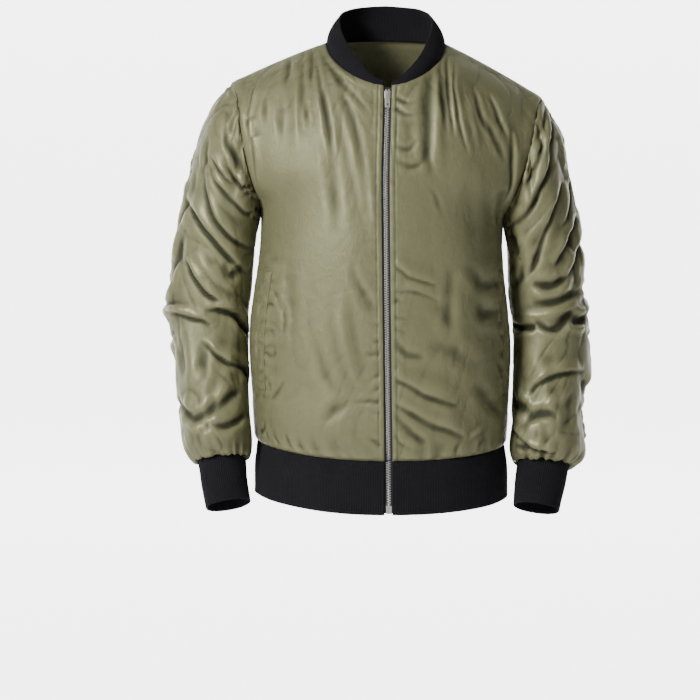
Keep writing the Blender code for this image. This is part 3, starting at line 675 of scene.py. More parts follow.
def grid_object(name: str, grid: Array, wrap: bool) -> Object:
    """A grid of points as an open mesh."""
    return mesh_object(name, grid, quads(np.arange(grid[..., 0].size).reshape(grid.shape[:2]), wrap).tolist())


def shell_object(sheet: Sheet, wall: float, loose: Array) -> Object:
    """A closed shell: a sheet's outer points, the same moved in by the wall, and rims between the two.

    Args:
        sheet: The folded sheet.
        wall: The thickness.
        loose: How far each point's rim swells, 1 for a half circle and 0 for a flat cut.

    Returns:
        The object, with the distances along its cloth as its UV map.
    """
    outer = sheet.folded()
    number = np.arange(outer[..., 0].size).reshape(outer.shape[:2])
    outward = np.zeros_like(outer)
    outward[0] += unit(outer[0] - outer[1])
    outward[-1] += unit(outer[-1] - outer[-2])
    loops = [number[0], number[-1, ::-1]]
    if not sheet.tube:
        outward[:, 0] += unit(outer[:, 0] - outer[:, 1])
        outward[:, -1] += unit(outer[:, -1] - outer[:, -2])
        loops = [np.concatenate([number[0], number[1:, -1], number[-1, -2::-1], number[-2:0:-1, 0]])]
    swell = unit(outward).reshape(-1, 3) * loose.reshape(-1, 1)
    outer, normals = outer.reshape(-1, 3), sheet.normals.reshape(-1, 3)
    faces = [quads(number, sheet.tube)]
    faces.append(number.size + faces[0][:, ::-1])
    points, sources = [outer, outer - wall * normals], [number.ravel(), number.ravel()]
    for loop in loops:
        rings = [loop]
        for angle in (math.pi / 4, math.pi / 2, math.pi * 3 / 4):
            rings.append(sum(map(len, points)) + np.arange(len(loop)))
            points.append(outer[loop] + wall / 2 * (
                normals[loop] * (math.cos(angle) - 1) + swell[loop] * math.sin(angle)
            ))
            sources.append(loop)
        rings.append(number.size + loop)
        for near, far in zip(rings, rings[1:]):
            faces.append(np.stack([np.roll(near, -1), near, far, np.roll(far, -1)], axis=1))
    corners = np.concatenate(faces)
    made = mesh_object(sheet.name, np.concatenate(points), corners.tolist())
    map_points = np.stack([sheet.across, sheet.along], axis=-1).reshape(-1, 2)
    uv = map_points[np.concatenate(sources)[corners]]
    behind = uv[..., 0].max(axis=1, keepdims=True) - uv[..., 0]
    uv[..., 0] += sheet.girth * (sheet.tube & (behind > sheet.girth / 2))
    made.data.uv_layers.new(name="UVMap").data.foreach_set("uv", uv.astype(np.float32).ravel())
    return made


def tubes_object(name: str, points: Array) -> Object:
    """One mesh of many closed tubes.

    Args:
        name: The object's name.
        points: Points as (tube, ring, side, xyz), each ring turning the same way seen from the far end.

    Returns:
        The object.
    """
    tubes, rings, sides = points.shape[:3]
    number = np.arange(rings * sides).reshape(rings, sides)
    faces = []
    for block in (quads(number, True)[:, ::-1], number[:1], number[-1:, ::-1]):
        shift = (np.arange(tubes) * rings * sides)[:, None, None]
        faces += (block[None] + shift).reshape(-1, block.shape[1]).tolist()
    return mesh_object(name, points, faces)


def stitches(name: str, line: Array, normals: Array, length: float = 0.0027, gap: float = 0.0009) -> Object:
    """A row of stitches: small capsules laid end to end along a line, their ends sunk into the cloth.

    Args:
        name: The object's name.
        line: Points that the row follows.
        normals: The cloth's normals there.
        length: One stitch's length.
        gap: The distance between stitches.

    Returns:
        The object.
    """
    radius = 0.00026
    reach = reach_along(line)
    at = np.arange(length, reach[-1] - length, length + gap)
    centre, out = read_at(at, reach, line), read_at(at, reach, normals)
    tangent = unit(read_at(at + length / 2, reach, line) - read_at(at - length / 2, reach, line))
    side = unit(np.cross(tangent, out))
    out = np.cross(side, tangent)
    half = [(-0.5, 0.25, -1.2), (-0.36, 0.9, -0.2), (0.0, 1.0, 0.25)]
    rings = np.array(half + [(-along, wide, lift) for along, wide, lift in half[1::-1]])
    ahead, swell, lift = (rings * [length, radius, radius]).T[:, None, :, None, None]
    turn = np.arange(6)[:, None] * np.pi / 3
    centre, tangent, side, out = (rows[:, None, None] for rows in (centre, tangent, side, out))
    spin = side * np.cos(turn) + out * np.sin(turn)
    return tubes_object(name, centre + tangent * ahead + out * lift + spin * swell)


# ---------------------------------------------------------------- cloth simulation
@dataclass(frozen=True)
class Draper:
    """Lets a tube that is held at both ends, and cut a little too big, buckle over what fills it.

    Attributes:
        seed: Seeds the small start moves that decide which way the cloth buckles.
        growth: How much bigger than its form the cloth is cut.
        inward: How far inside the cloth the filling lies.
        bend: The cloth's bending stiffness, which sets how wide its folds are.
        reach: The furthest that a point may move.
        frames: How many frames the cloth has to settle.
        every: How many of the sheet's rows and columns one of the simulated copy's stands for.
    """

    seed: int
    growth: float = 0.030
    inward: float = 0.006
    bend: float = 12.0
    reach: float = 0.006
    frames: int = 28
    every: int = 2

    def cloth(self, grid: Array, held: Array) -> Object:
        """A grid as simulated cloth that is held at some points."""
        made = grid_object("cloth_sim", grid, True)
        made.vertex_groups.new(name="held").add(np.flatnonzero(held).tolist(), 1.0, "REPLACE")
        modifier = made.modifiers.new("cloth", "CLOTH")
        stiffness = {"tension": 15.0, "compression": 15.0, "shear": 6.0, "bending": self.bend}
        settings = {f"{kind}_stiffness": value for kind, value in stiffness.items()}
        settings |= {"quality": 6, "mass": 0.12, "air_damping": 2.0, "vertex_group_mass": "held"}
        settings |= {"shrink_min": -self.growth, "shrink_max": -self.growth}
        for key, value in settings.items():
            setattr(modifier.settings, key, value)
        modifier.settings.effector_weights.gravity = 0.6
        modifier.collision_settings.distance_min = 0.001
        modifier.point_cache.frame_start, modifier.point_cache.frame_end = 1, self.frames
        return made

    def drape(self, sheet: Sheet) -> None:
        """Simulates a coarse copy of a sheet and moves the sheet as the copy moved."""
        rows, columns = sheet.grid.shape[:2]
        down = np.round(np.linspace(0, rows - 1, (rows - 1) // self.every + 1)).astype(int)
        over = np.arange(0, columns, self.every)
        coarse, out = sheet.grid[down][:, over], sheet.normals[down][:, over]
        filling = grid_object("filling", coarse - out * self.inward, True)
        filling.modifiers.new("solid", "COLLISION")
        filling.collision.thickness_outer = 0.001
        filling.collision.cloth_friction = 10.0
        held = np.zeros(coarse.shape[:2], bool)
        held[[0, -1]] = True
        start = Noise(self.seed).at(coarse / 0.045) * 0.0016 * ~held
        cloth = self.cloth(coarse + out * start[..., None], held)
        for step in range(1, self.frames + 1):
            bpy.context.scene.frame_set(step)
        found = np.empty(coarse.size, np.float32)
        cloth.evaluated_get(bpy.context.evaluated_depsgraph_get()).data.vertices.foreach_get("co", found)
        move = found.reshape(coarse.shape).astype(float) - coarse
        for spent in (cloth, filling):
            bpy.data.objects.remove(spent)
        bpy.context.scene.frame_set(1)
        size = np.linalg.norm(move, axis=2, keepdims=True)
        move *= self.reach * np.tanh(size / self.reach) / np.maximum(size, 1e-9)
        fine = spread(move, down, rows, False).transpose(1, 0, 2)
        sheet.grid = sheet.grid + spread(fine, over, columns, True).transpose(1, 0, 2)
        sheet.measure()


# ---------------------------------------------------------------- finishes
class Value:
    """A number in a material. An expression on values adds its Math nodes."""

    def __init__(self, graph: "Graph", socket: Socket) -> None:
        """Wraps a socket of a graph."""
        self.graph, self.socket = graph, socket

    def maths(self, operation: str, *inputs: "Value | float") -> "Value":
        """A Math node on its inputs."""
        return self.graph.value("ShaderNodeMath", {"operation": operation}, dict(enumerate(inputs)))

    def __add__(self, other: "Value | float") -> "Value":
        """self + other"""
        return self.maths("ADD", self, other)

    def __sub__(self, other: "Value | float") -> "Value":
        """self - other"""
        return self.maths("SUBTRACT", self, other)

    def __rsub__(self, other: "Value | float") -> "Value":
        """other - self"""
        return self.maths("SUBTRACT", other, self)

    def __mul__(self, other: "Value | float") -> "Value":
        """self * other"""
        return self.maths("MULTIPLY", self, other)

    __radd__, __rmul__ = __add__, __mul__

    def sine(self) -> "Value":
        """The sine of self."""
        return self.maths("SINE", self)

    def clamped(self) -> "Value":
        """self, kept between 0 and 1."""
        return self.graph.value("ShaderNodeClamp", {}, {"Value": self})


class Graph:
    """A material's nodes, ending in one Principled shader. Its inputs are named with _ for a space."""

    def __init__(self, name: str, **constants: object) -> None:
        """Starts a material whose shader has these constant values."""
        self.material = bpy.data.materials.new(name)
        self.material.use_nodes = True
        self.tree = self.material.node_tree
        for key, value in constants.items():
            self.shader_input(key).default_value = value

    def shader_input(self, key: str) -> Socket:
        """One of the shader's inputs."""
        return self.tree.nodes["Principled BSDF"].inputs[key.replace("_", " ").title().replace("Ior", "IOR")]

    def node(self, kind: str, settings: dict[str, object], inputs: dict[str | int, object]) -> bpy.types.Node:
        """Adds a node.

        Args:
            kind: Its type.
            settings: Its properties, set first.
            inputs: What its sockets hold: a value, a socket or a Value.

        Returns:
            The node.
        """
        made = self.tree.nodes.new(kind)
        for key, value in settings.items():
            setattr(made, key, value)
        for key, value in inputs.items():
            source = value.socket if isinstance(value, Value) else value
            if isinstance(source, Socket):
                self.tree.links.new(source, made.inputs[key])
            else:
                made.inputs[key].default_value = source
        return made

    def value(
        self, kind: str, settings: dict[str, object], inputs: dict[str | int, object], output: str | int = 0
    ) -> Value:
        """Adds a node and wraps one of its outputs."""
        return Value(self, self.node(kind, settings, inputs).outputs[output])

    def coordinates(self, kind: str, *scale: float) -> Socket:
        """The piece's "UV" map or its "Object" coordinates, in metres, times one scale or three."""
        source = self.node("ShaderNodeTexCoord", {}, {}).outputs[kind]
        scales = scale * 3 if len(scale) == 1 else scale
        return self.node("ShaderNodeMapping", {}, {"Vector": source, "Scale": scales}).outputs[0]

    def axes(self, vector: Socket) -> list[Value]:
        """A vector's three numbers."""
        node = self.node("ShaderNodeSeparateXYZ", {}, {"Vector": vector})
        return [Value(self, output) for output in node.outputs]

    def noise(self, vector: Socket, detail: float = 2.0, rough: float = 0.5, warp: float = 0.0) -> Value:
        """Noise on a vector, about 0.5."""
        inputs = {"Vector": vector, "Scale": 1.0, "Detail": detail, "Roughness": rough, "Distortion": warp}
        return self.value("ShaderNodeTexNoise", {}, inputs)

    def attribute(self, name: str) -> Value:
        """A number kept with the piece's points."""
        return self.value("ShaderNodeAttribute", {"attribute_name": name}, {}, "Fac")

    def mixed(self, low: Triple | Socket, high: Triple, share: Value) -> Socket:
        """A colour between two, by a share."""
        low = low if isinstance(low, Socket) else (*low, 1.0)
        inputs = {0: share, 6: low, 7: (*high, 1.0)}
        return self.node("ShaderNodeMix", {"data_type": "RGBA"}, inputs).outputs[2]

    def finish(self, colour: Socket, height: Value, depth: float, roughness: Value | None = None) -> Material:
        """Links what varies to the shader: colour, a bump of that depth in metres, and roughness."""
        bump = self.node("ShaderNodeBump", {}, {"Height": height, "Strength": 1.0, "Distance": depth})
        self.tree.links.new(colour, self.shader_input("base_color"))
        self.tree.links.new(bump.outputs[0], self.shader_input("normal"))
        if roughness is not None:
            self.tree.links.new(roughness.socket, self.shader_input("roughness"))
        return self.material


@dataclass(frozen=True)
class Taffeta:
    """The shell: a glossy plain weave, its threads uneven, with a faint check, painted shade in its folds and
    painted highlight on their ridges.
    """

    dark: Triple = (0.124, 0.124, 0.066)
    light: Triple = (0.206, 0.201, 0.108)
    # Painted shade: the near-black colour that the deepest folds are darkened towards.
    painted_shade: Triple = (0.018, 0.020, 0.011)
    roughness: float = 0.54
    thread: float = 0.0007
    check: float = 0.0036

    def make(self, name: str) -> Material:
        """The material, which reads how deep a point lies from the attribute "hollow"."""
        graph = Graph(
            name, metallic=0.30, sheen_weight=0.04, sheen_roughness=0.4, sheen_tint=(0.8, 0.76, 0.5, 1.0),
            specular_ior_level=0.22,
        )
        # How deep each point lies in a fold, below 0 on a ridge: it paints shade into the folds and highlight
        # onto the ridges.
        hollow = graph.attribute("hollow")
        weft = graph.noise(graph.coordinates("UV", 70.0, 1 / self.thread, 1.0), 3.0, 0.6)
        warp = graph.noise(graph.coordinates("UV", 1 / self.thread, 55.0, 1.0), 3.0, 0.6)
        over, up, _ = graph.axes(graph.coordinates("UV", 2 * math.pi / self.check))
        check = over.sine() * up.sine()
        cloudy = graph.noise(graph.coordinates("Object", 14.0, 14.0, 9.0), 3.0, 0.55)
        crinkle = graph.noise(graph.coordinates("Object", 95.0, 95.0, 70.0), 3.0, 0.55, 0.6)
        # The weave, the random cloudy tone and the check are the cloth's own colour; the fold term is painted
        # shade in the folds and painted highlight on the ridges.
        share = (weft * 0.55 + warp * 0.35 + cloudy * 0.5 + check * 0.05 - hollow * 0.9 - 0.25).clamped()
        cloth = graph.mixed(self.dark, self.light, share)
        # Painted shade: the deepest folds darkened further towards near black.
        colour = graph.mixed(cloth, self.painted_shade, (hollow * 0.95 - 0.09).clamped())
        rough = (cloudy * 0.10 + weft * 0.08 + hollow * 0.2 + (self.roughness - 0.09)).clamped()
        return graph.finish(colour, crinkle * 0.75 + weft * 0.12 + warp * 0.08 + check * 0.012, 0.0011, rough)


@dataclass(frozen=True)
class RibKnit:
    """Black rib knit: matt, with painted shade between its ribs and painted highlight on their tops, and a
    stitch every few millimetres up each rib.
    """

    dark: Triple = (0.0028, 0.0028, 0.0038)
    light: Triple = (0.0210, 0.0200, 0.0245)
    stitch: float = 0.0019

    def make(self, name: str) -> Material:
        """The material, which reads the ribs' own height from the attribute "rise"."""
        graph = Graph(name, roughness=0.92, sheen_weight=0.02, sheen_roughness=0.5, specular_ior_level=0.12)
        # The ribs' height paints shade between the ribs and highlight on their tops.
        rise = graph.attribute("rise")
        _, up, _ = graph.axes(graph.coordinates("UV", 1.0, 2 * math.pi / self.stitch, 1.0))
        stitch = (up + rise * 2.2).sine() * 0.5 + 0.5
        fuzz = graph.noise(graph.coordinates("Object", 900.0), 2.0, 0.6)
        patchy = graph.noise(graph.coordinates("Object", 30.0))
        # The random fuzz and patches are the knit's own tone; the rib height term is painted shade in the
        # valleys and painted highlight on the tops, where the stitches also show lighter.
        share = (rise * 0.55 + stitch * rise * 0.20 + fuzz * 0.35 + patchy * 0.25 - 0.30).clamped()
        return graph.finish(graph.mixed(self.dark, self.light, share), stitch * 0.5 + fuzz * 0.8, 0.0005)


@dataclass(frozen=True)
class WovenTape:
    """The zip's tape: a dark twill with slanting threads."""

    dark: Triple = (0.008, 0.008, 0.011)
    light: Triple = (0.030, 0.030, 0.036)
    twill: float = 0.0009

    def make(self, name: str) -> Material:
        """The material."""
        graph = Graph(name, roughness=0.85, sheen_weight=0.2)
        over, _, up = graph.axes(graph.coordinates("Object", 2 * math.pi / self.twill))
        twill = (over + up).sine() * 0.5 + 0.5
        share = (twill * 0.6 + graph.noise(graph.coordinates("Object", 700.0)) * 0.5 - 0.1).clamped()
        return graph.finish(graph.mixed(self.dark, self.light, share), twill, 0.0002)


@dataclass(frozen=True)
class Silver:
    """The zip's metal: bright, with worn patches that are a little duller."""

    dull: Triple = (0.50, 0.48, 0.45)
    bright: Triple = (0.86, 0.84, 0.80)
    roughness: float = 0.36

    def make(self, name: str) -> Material:
        """The material."""
        graph = Graph(name, metallic=1.0)
        wear = graph.noise(graph.coordinates("Object", 320.0), 4.0, 0.6)
        fine = graph.noise(graph.coordinates("Object", 2400.0, 2400.0, 600.0))
        rough = (wear * 0.16 + fine * 0.10 + (self.roughness - 0.13)).clamped()
        return graph.finish(graph.mixed(self.dull, self.bright, wear), fine, 0.00006, rough)


@dataclass(frozen=True)
class Thread:
    """Sewing thread: a twisted strand a little darker than the cloth."""

    dark: Triple = (0.075, 0.072, 0.048)
    light: Triple = (0.165, 0.158, 0.108)

    def make(self, name: str) -> Material:
        """The material."""
        graph = Graph(name, roughness=0.55, sheen_weight=0.2)
        twist = graph.noise(graph.coordinates("Object", 2600.0), 2.0, 0.6)
        return graph.finish(graph.mixed(self.dark, self.light, twist), twist, 0.0001)


# ---------------------------------------------------------------- creases: x0, z0, x1, z1, bow, width, depth
CreaseTable = dict[tuple[Side | None, Fold, Taper], list[tuple[float, ...]]]

FRONT_CREASES: CreaseTable = {
    (Side.RIGHT, Fold.TROUGH, Taper.SOFT): [
        (-106, -11, -107, -78, 0, 4, 2.3), (-101, -34, -72, -183, 1, 4.5, 2.6),
        (-91, -27, -24, -110, -3, 4.5, 2.3), (-80, -35, -23, -272, 11, 6, 2.4),
        (-136, -25, -143, -75, 0, 5, 1.8), (-79, -162, -71, -286, 1, 9, 1.9),
        (-114, -85, -111, -134, 0, 3.5, 1.6), (-150, -75, -149, -155, 0, 5, 1.5),
        (-171, -80, -171, -127, -1, 4, 1.5), (-100, -16, -79, -135, -3, 3.5, 2),
        (-114, -18, -117, -141, -5, 5, 1.8), (-47, -316, -12, -398, -7, 6, 1.6),
        (-35, -348, -12, -387, -1, 5, 1.2), (-135, -301, -131, -433, -1, 11, 1.5),
        (-96, -411, -51, -514, -14, 9, 1.4), (-96, -539, -49, -509, 2, 8, 1.5),
    ],
    (Side.RIGHT, Fold.TUCK, Taper.START): [
        (-183, -72, -194, -128, -2, 3.5, 2.4), (-191, -117, -189, -173, -2, 4, 2.7),
        (-206, -98, -202, -134, -1, 3, 1.3), (-186, -141, -181, -215, 0, 5, 2.7),
        (-70, -50, -53, -67, 0, 3, 1.1), (-56, -59, -38, -74, 0, 3, 1),
    ],
    (Side.RIGHT, Fold.RIDGE, Taper.SOFT): [
        (-97, -22, -89, -142, 1, 5, 1.9), (-58, -93, -13, -306, 3, 9, 2.2),
        (-123, -34, -125, -169, -2, 7, 1.6), (-63, -352, -29, -504, -13, 8, 1.9),
    ],
    (Side.RIGHT, Fold.TROUGH, Taper.START): [
        (-10, -403, -32, -394, 2, 3.5, 1.3), (-10, -443, -35, -445, -1, 4.5, 1.7),
        (-10, -509, -51, -511, -1, 4.5, 1.8), (-9, -527, -25, -520, -1, 4, 1.3),
        (-9, -571, -32, -558, -2, 4, 1.4), (-10, -425, -24, -421, 1, 3.5, 1.1),
        (-10, -472, -27, -484, -2, 3.5, 1.2), (-10, -490, -29, -499, -1, 3.5, 1.2),
        (-180, -564, -177, -537, -6, 4, 2), (-165, -573, -172, -549, 1, 4, 1.9),
        (-150, -577, -160, -553, 2, 4, 1.9), (-133, -579, -141, -556, 2, 4, 1.8),
        (-117, -582, -123, -563, 2, 4, 1.4),
    ],
    (Side.RIGHT, Fold.TROUGH, Taper.BOTH): [
        (-176, -382, -154, -384, 6, 4, 1.9), (-174, -422, -155, -423, 7, 4, 1.7),
        (-176, -444, -154, -444, -6, 4.5, 1.9), (-175, -479, -163, -499, 3, 4, 1.6),
        (-161, -355, -149, -388, 3, 4, 1.3), (-148, -371, -145, -420, 3, 4, 1.3),
        (-163, -513, -144, -483, -2, 4, 1.4),
    ],
    (Side.LEFT, Fold.TROUGH, Taper.SOFT): [
        (63, -42, 63, -206, -8, 7, 3.8), (77, -38, 82, -140, -1, 4, 2.2), (124, -78, 141, -137, -2, 4, 2.4),
        (133, -110, 167, -179, 1, 5, 2.4), (60, -212, 76, -256, 2, 4, 1.2), (64, -369, 90, -417, 3, 10, 1.7),
        (84, -314, 83, -424, 3, 8, 1.6),
    ],
    (Side.LEFT, Fold.TUCK, Taper.SOFT): [
        (91, -22, 97, -148, -3, 5, 3.8), (98, -31, 117, -173, -6, 5, 3), (146, -80, 174, -148, 0, 5, 3.4),
    ],
    (Side.LEFT, Fold.TROUGH, Taper.START): [
        (13, -89, 52, -89, -7, 4, 2.2), (12, -103, 53, -107, -8, 4, 2), (9, -390, 30, -396, -1, 3.5, 1.4),
        (9, -408, 26, -415, 1, 3.5, 1.2), (129, -585, 141, -564, 3, 4, 1.8), (95, -588, 105, -565, 2, 4, 1.7),
        (9, -368, 26, -374, 0, 3.5, 1.2), (9, -448, 27, -459, 0, 3.5, 1.3), (9, -556, 37, -577, -3, 4, 1.6),
    ],
    (Side.LEFT, Fold.TROUGH, Taper.BOTH): [
        (13, -176, 54, -157, -19, 5, 1.8), (13, -155, 41, -149, -9, 4, 1.6),
        (166, -215, 159, -272, -1, 8, 2.8), (9, -422, 53, -448, -8, 6, 2), (11, -527, 55, -567, -4, 6, 2.4),
        (112, -320, 167, -353, -12, 10, 2.8), (124, -376, 166, -390, -10, 10, 2.6),
        (56, -429, 130, -471, 4, 12, 2.4), (121, -487, 165, -541, 1, 10, 2.6),
        (157, -373, 160, -409, 5, 4, 1.5), (160, -422, 165, -452, 6, 4, 1.6),
        (154, -459, 166, -492, 5, 5, 1.6),
    ],
    (Side.LEFT, Fold.TUCK, Taper.BOTH): [
        (179, -136, 171, -235, 8, 6, 3.4), (9, -315, 70, -345, -5, 5, 2.2), (10, -353, 74, -370, 7, 5, 1.9),
        (9, -470, 99, -511, -2, 8, 3.4), (9, -505, 112, -557, -1, 8, 3.4),
    ],
    (Side.LEFT, Fold.RIDGE, Taper.SOFT): [
        (75, -49, 74, -193, -4, 6, 2.2), (108, -56, 129, -165, -1, 6, 1.9),
        (124, -176, 127, -318, 5, 12, 1.8),
    ],
    (Side.LEFT, Fold.RIDGE, Taper.BOTH): [
        (116, -563, 139, -545, 0, 4, 1.8), (15, -490, 96, -528, 2, 8, 2),
    ],
}
SLEEVE_CREASES: CreaseTable = {
    (Side.RIGHT, Fold.TUCK, Taper.BOTH): [
        (-248, -167, -215, -207, -1, 5, 3.8), (-225, -170, -184, -228, -5, 5, 3.8),
        (-247, -192, -181, -256, -4, 6, 3.8), (-256, -198, -189, -297, -16, 7, 4.8),
        (-285, -224, -197, -334, -3, 8, 6.5), (-283, -312, -227, -376, -9, 7, 6),
        (-259, -383, -199, -418, 16, 7, 7), (-318, -387, -247, -405, 3, 6, 5),
        (-258, -428, -197, -470, -5, 6, 5),
    ],
    (Side.RIGHT, Fold.TROUGH, Taper.SOFT): [
        (-253, -139, -262, -207, 0, 5, 2.2), (-230, -122, -207, -184, -4, 5, 2.5),
        (-222, -136, -194, -207, -2, 5, 2.2), (-265, -437, -260, -493, 4, 8, 2.2),
        (-288, -254, -292, -339, -6, 9, 2),
    ],
    (Side.RIGHT, Fold.TROUGH, Taper.BOTH): [
        (-228, -319, -204, -334, -11, 7, 3.4), (-222, -455, -197, -496, 7, 7, 5),
        (-303, -512, -240, -510, -29, 7, 4.6), (-254, -539, -207, -502, 2, 7, 4.2),
        (-249, -547, -200, -527, -11, 6, 3.8), (-217, -551, -197, -538, 1, 5, 3.2),
        (-218, -391, -198, -429, 3, 9, 6), (-265, -559, -246, -539, 0, 6, 2.6),
    ],
    (Side.RIGHT, Fold.RIDGE, Taper.BOTH): [
        (-271, -303, -215, -361, -5, 7, 3),
    ],
    (Side.RIGHT, Fold.RIDGE, Taper.SOFT): [
        (-291, -403, -285, -502, 9, 10, 2.4),
    ],
    (Side.LEFT, Fold.OVER, Taper.BOTH): [
        (230, -98, 221, -176, 5, 5, 4.8), (219, -139, 193, -208, 3, 5, 3.8), (229, -156, 173, -268, 12, 7, 6),
        (248, -204, 197, -342, 0, 7, 5), (274, -244, 236, -323, 1, 7, 5.5),
    ],
    (Side.LEFT, Fold.TROUGH, Taper.BOTH): [
        (229, -266, 206, -336, -6, 8, 4.4), (209, -349, 258, -343, -9, 7, 5.5),
        (176, -276, 188, -312, 0, 9, 5), (179, -413, 213, -412, -2, 5, 6.5),
        (213, -406, 264, -387, -20, 5, 4.8), (236, -415, 292, -409, 14, 8, 6.5),
        (179, -509, 208, -530, -8, 9, 4.8), (192, -555, 243, -539, 13, 7, 4.4),
        (183, -581, 201, -579, -2, 5, 3.2), (207, -377, 287, -358, -7, 7, 3.8),
        (179, -361, 198, -320, -3, 6, 3),
    ],
    (Side.LEFT, Fold.TUCK, Taper.BOTH): [
        (201, -503, 284, -474, 15, 7, 6), (180, -553, 240, -586, -8, 5, 4.4),
    ],
    (Side.LEFT, Fold.RIDGE, Taper.BOTH): [
        (192, -396, 264, -382, -5, 6, 3.8), (218, -514, 264, -499, -5, 7, 2.6),
    ],
    (Side.LEFT, Fold.RIDGE, Taper.SOFT): [
        (193, -440, 204, -508, 13, 12, 2.6),
    ],
    (Side.LEFT, Fold.TROUGH, Taper.SOFT): [
        (255, -494, 248, -567, 9, 8, 2.4), (241, -161, 267, -240, 2, 8, 2.2),
    ],
}
BACK_CREASES: CreaseTable = {
    (None, Fold.TUCK, Taper.BOTH): [
        (-150, -430, -60, -470, 6, 10, 2.6), (150, -440, 50, -486, -6, 10, 2.4),
        (-90, -520, 30, -536, 5, 9, 2.2), (-175, -250, -110, -320, 6, 9, 2.6),
        (165, -262, 104, -330, -6, 9, 2.4),
    ],
    (None, Fold.TROUGH, Taper.SOFT): [
        (-60, -60, -30, -260, 6, 18, 1.6), (60, -60, 34, -260, -6, 18, 1.6), (0, -120, 4, -400, 4, 20, 1.6),
    ],
}


def creases(table: CreaseTable, side: Side | None, view: View = View.FRONT) -> list[Crease]:
    """A side's creases from a table, in metres."""
    return [
        Crease(row[:2], row[2:4], *row[4:], fold, taper, view)
        for (on, fold, taper), rows in table.items() if on is side
        for row in np.array(rows) / 1000
    ]


def strewn(given: list[Crease], view: View, box: tuple[float, ...], seed: int) -> list[Crease]:
    """Creases like some others for a side that doesn't show: moved and turned by seeded amounts into a box.

    Args:
        given: The creases to imitate.
        view: The side they are laid out on.
        box: Where they go on that side: lowest across, highest across, lowest z, highest z.
        seed: Seeds the changes.

    Returns:
        The creases.
    """
    ends = [(crease.start[0], crease.end[0]) for crease in given]
    low, high = np.min(ends), np.max(ends)
    chance = np.random.default_rng(seed)
    made = []
    for crease in given:
        shift = chance.uniform([-0.012, -0.022], [0.012, 0.022])
        turn = chance.uniform(-0.35, 0.35)
        cos, sin = math.cos(turn), math.sin(turn)
        half = (crease.end - crease.start) / 2 @ np.array([[cos, sin], [-sin, cos]])
        middle = (crease.start + crease.end) / 2
        middle[0] = box[0] + (middle[0] - low) * (box[1] - box[0]) / (high - low)
        middle += shift
        start, end = np.clip([middle - half, middle + half], [box[0], box[2]], [box[1], box[3]])
        width, depth = crease.width * 1.1, crease.depth * chance.uniform(0.75, 1.1)
        made.append(Crease(start, end, crease.bow, width, depth, crease.fold, crease.taper, view))
    return made


# ---------------------------------------------------------------- the pieces
def declare(made: Object, finish: Material, node: str = "") -> None:
    """Gives a piece its finish, puts it on the jacket's body, hides the solid that it stands for and logs its
    faces.
    """
    made.data.materials.append(finish)
    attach(made, "jacket")
    if node:
        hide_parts(node)
    log.info("%s: %d faces", made.name, len(made.data.polygons))


@dataclass
class Tailor:
    """What every cloth piece shares: how a folded sheet becomes a piece.

    Attributes:
        shell: The shell's finish, rib: the rib knit's and thread: the sewing thread's.
        shell_wall: The shell's thickness, and rib_wall: the doubled rib knit's.
        fullness: How much larger a piece's cloth is than its form, for its folds; not used.
    """

    shell: Material
    rib: Material
    thread: Material
    shell_wall: float = 0.0014
    rib_wall: float = 0.0026
    fullness: float = 1.03

    def sew(
        self, sheet: Sheet, node: str, cut: tuple[float, float], held: str, rests_on: list[str],
        extra: list[Object], loose: Array | None = None, rise: Array | None = None,
    ) -> None:
        """Makes a sheet a finished and declared piece.

        Args:
            sheet: The folded sheet.
            node: The solid that it stands for.
            cut: The width and length it was cut to; not used.
            held: How it is held; not used.
            rests_on: What it lies on; not used.
            extra: The pieces on it; not used.
            loose: How far each point's rim swells, where it isn't sewn.
            rise: The ribs' height, 0 to 1, where it is rib knit.
        """
        rib = rise is not None
        edges = np.zeros(sheet.height.shape) if loose is None else loose
        made = shell_object(sheet, self.rib_wall if rib else self.shell_wall, edges)
        # The rib height or the fold depth, stored below as a point attribute from which the finishes paint
        # shade and highlight.
        shown = rise if rib else sheet.depths_for_painted_shade()
        values = np.full(len(made.data.vertices), float(shown[0].mean()), np.float32)
        values[: 2 * shown.size] = np.tile(shown.ravel(), 2)
        layer = made.data.attributes.new("rise" if rib else "hollow", "FLOAT", "POINT")
        layer.data.foreach_set("value", values)
        declare(made, self.rib if rib else self.shell, node)
        over = np.concatenate([sheet.grid, sheet.grid[:, :1]], axis=1) if sheet.tube else sheet.grid
        crossed = np.cross(over[1:, 1:] - over[:-1, :-1], over[1:, :-1] - over[:-1, 1:])

    def knit(
        self, sheet: Sheet, node: str, cut: tuple[float, float], rests_on: str,
        rise: Array, sewn: int, dip: float,
    ) -> None:
        """Finishes a piece of rib knit, which is sewn along one row and loose at its other edges.

        Args:
            sheet: The sheet, without its ribs.
            node: The solid that it stands for.
            cut: The width and length it was cut to; not used.
            rests_on: What it lies on; not used.
            rise: The ribs' height along a row, 0 to 1.
            sewn: The row of its seam, 0 or -1.
            dip: How far the seam draws it in.
        """
        rise = np.broadcast_to(rise, sheet.height.shape)
        gap = sheet.above if sewn else sheet.below
        sheet.height += RIB_DEPTH * (rise - 0.5) - dip * np.exp(-gap / 0.002)
        loose = np.ones(sheet.height.shape)
        loose[sewn] = 0.0
        self.sew(sheet, node, cut, "stretched", [rests_on], [], loose, rise)


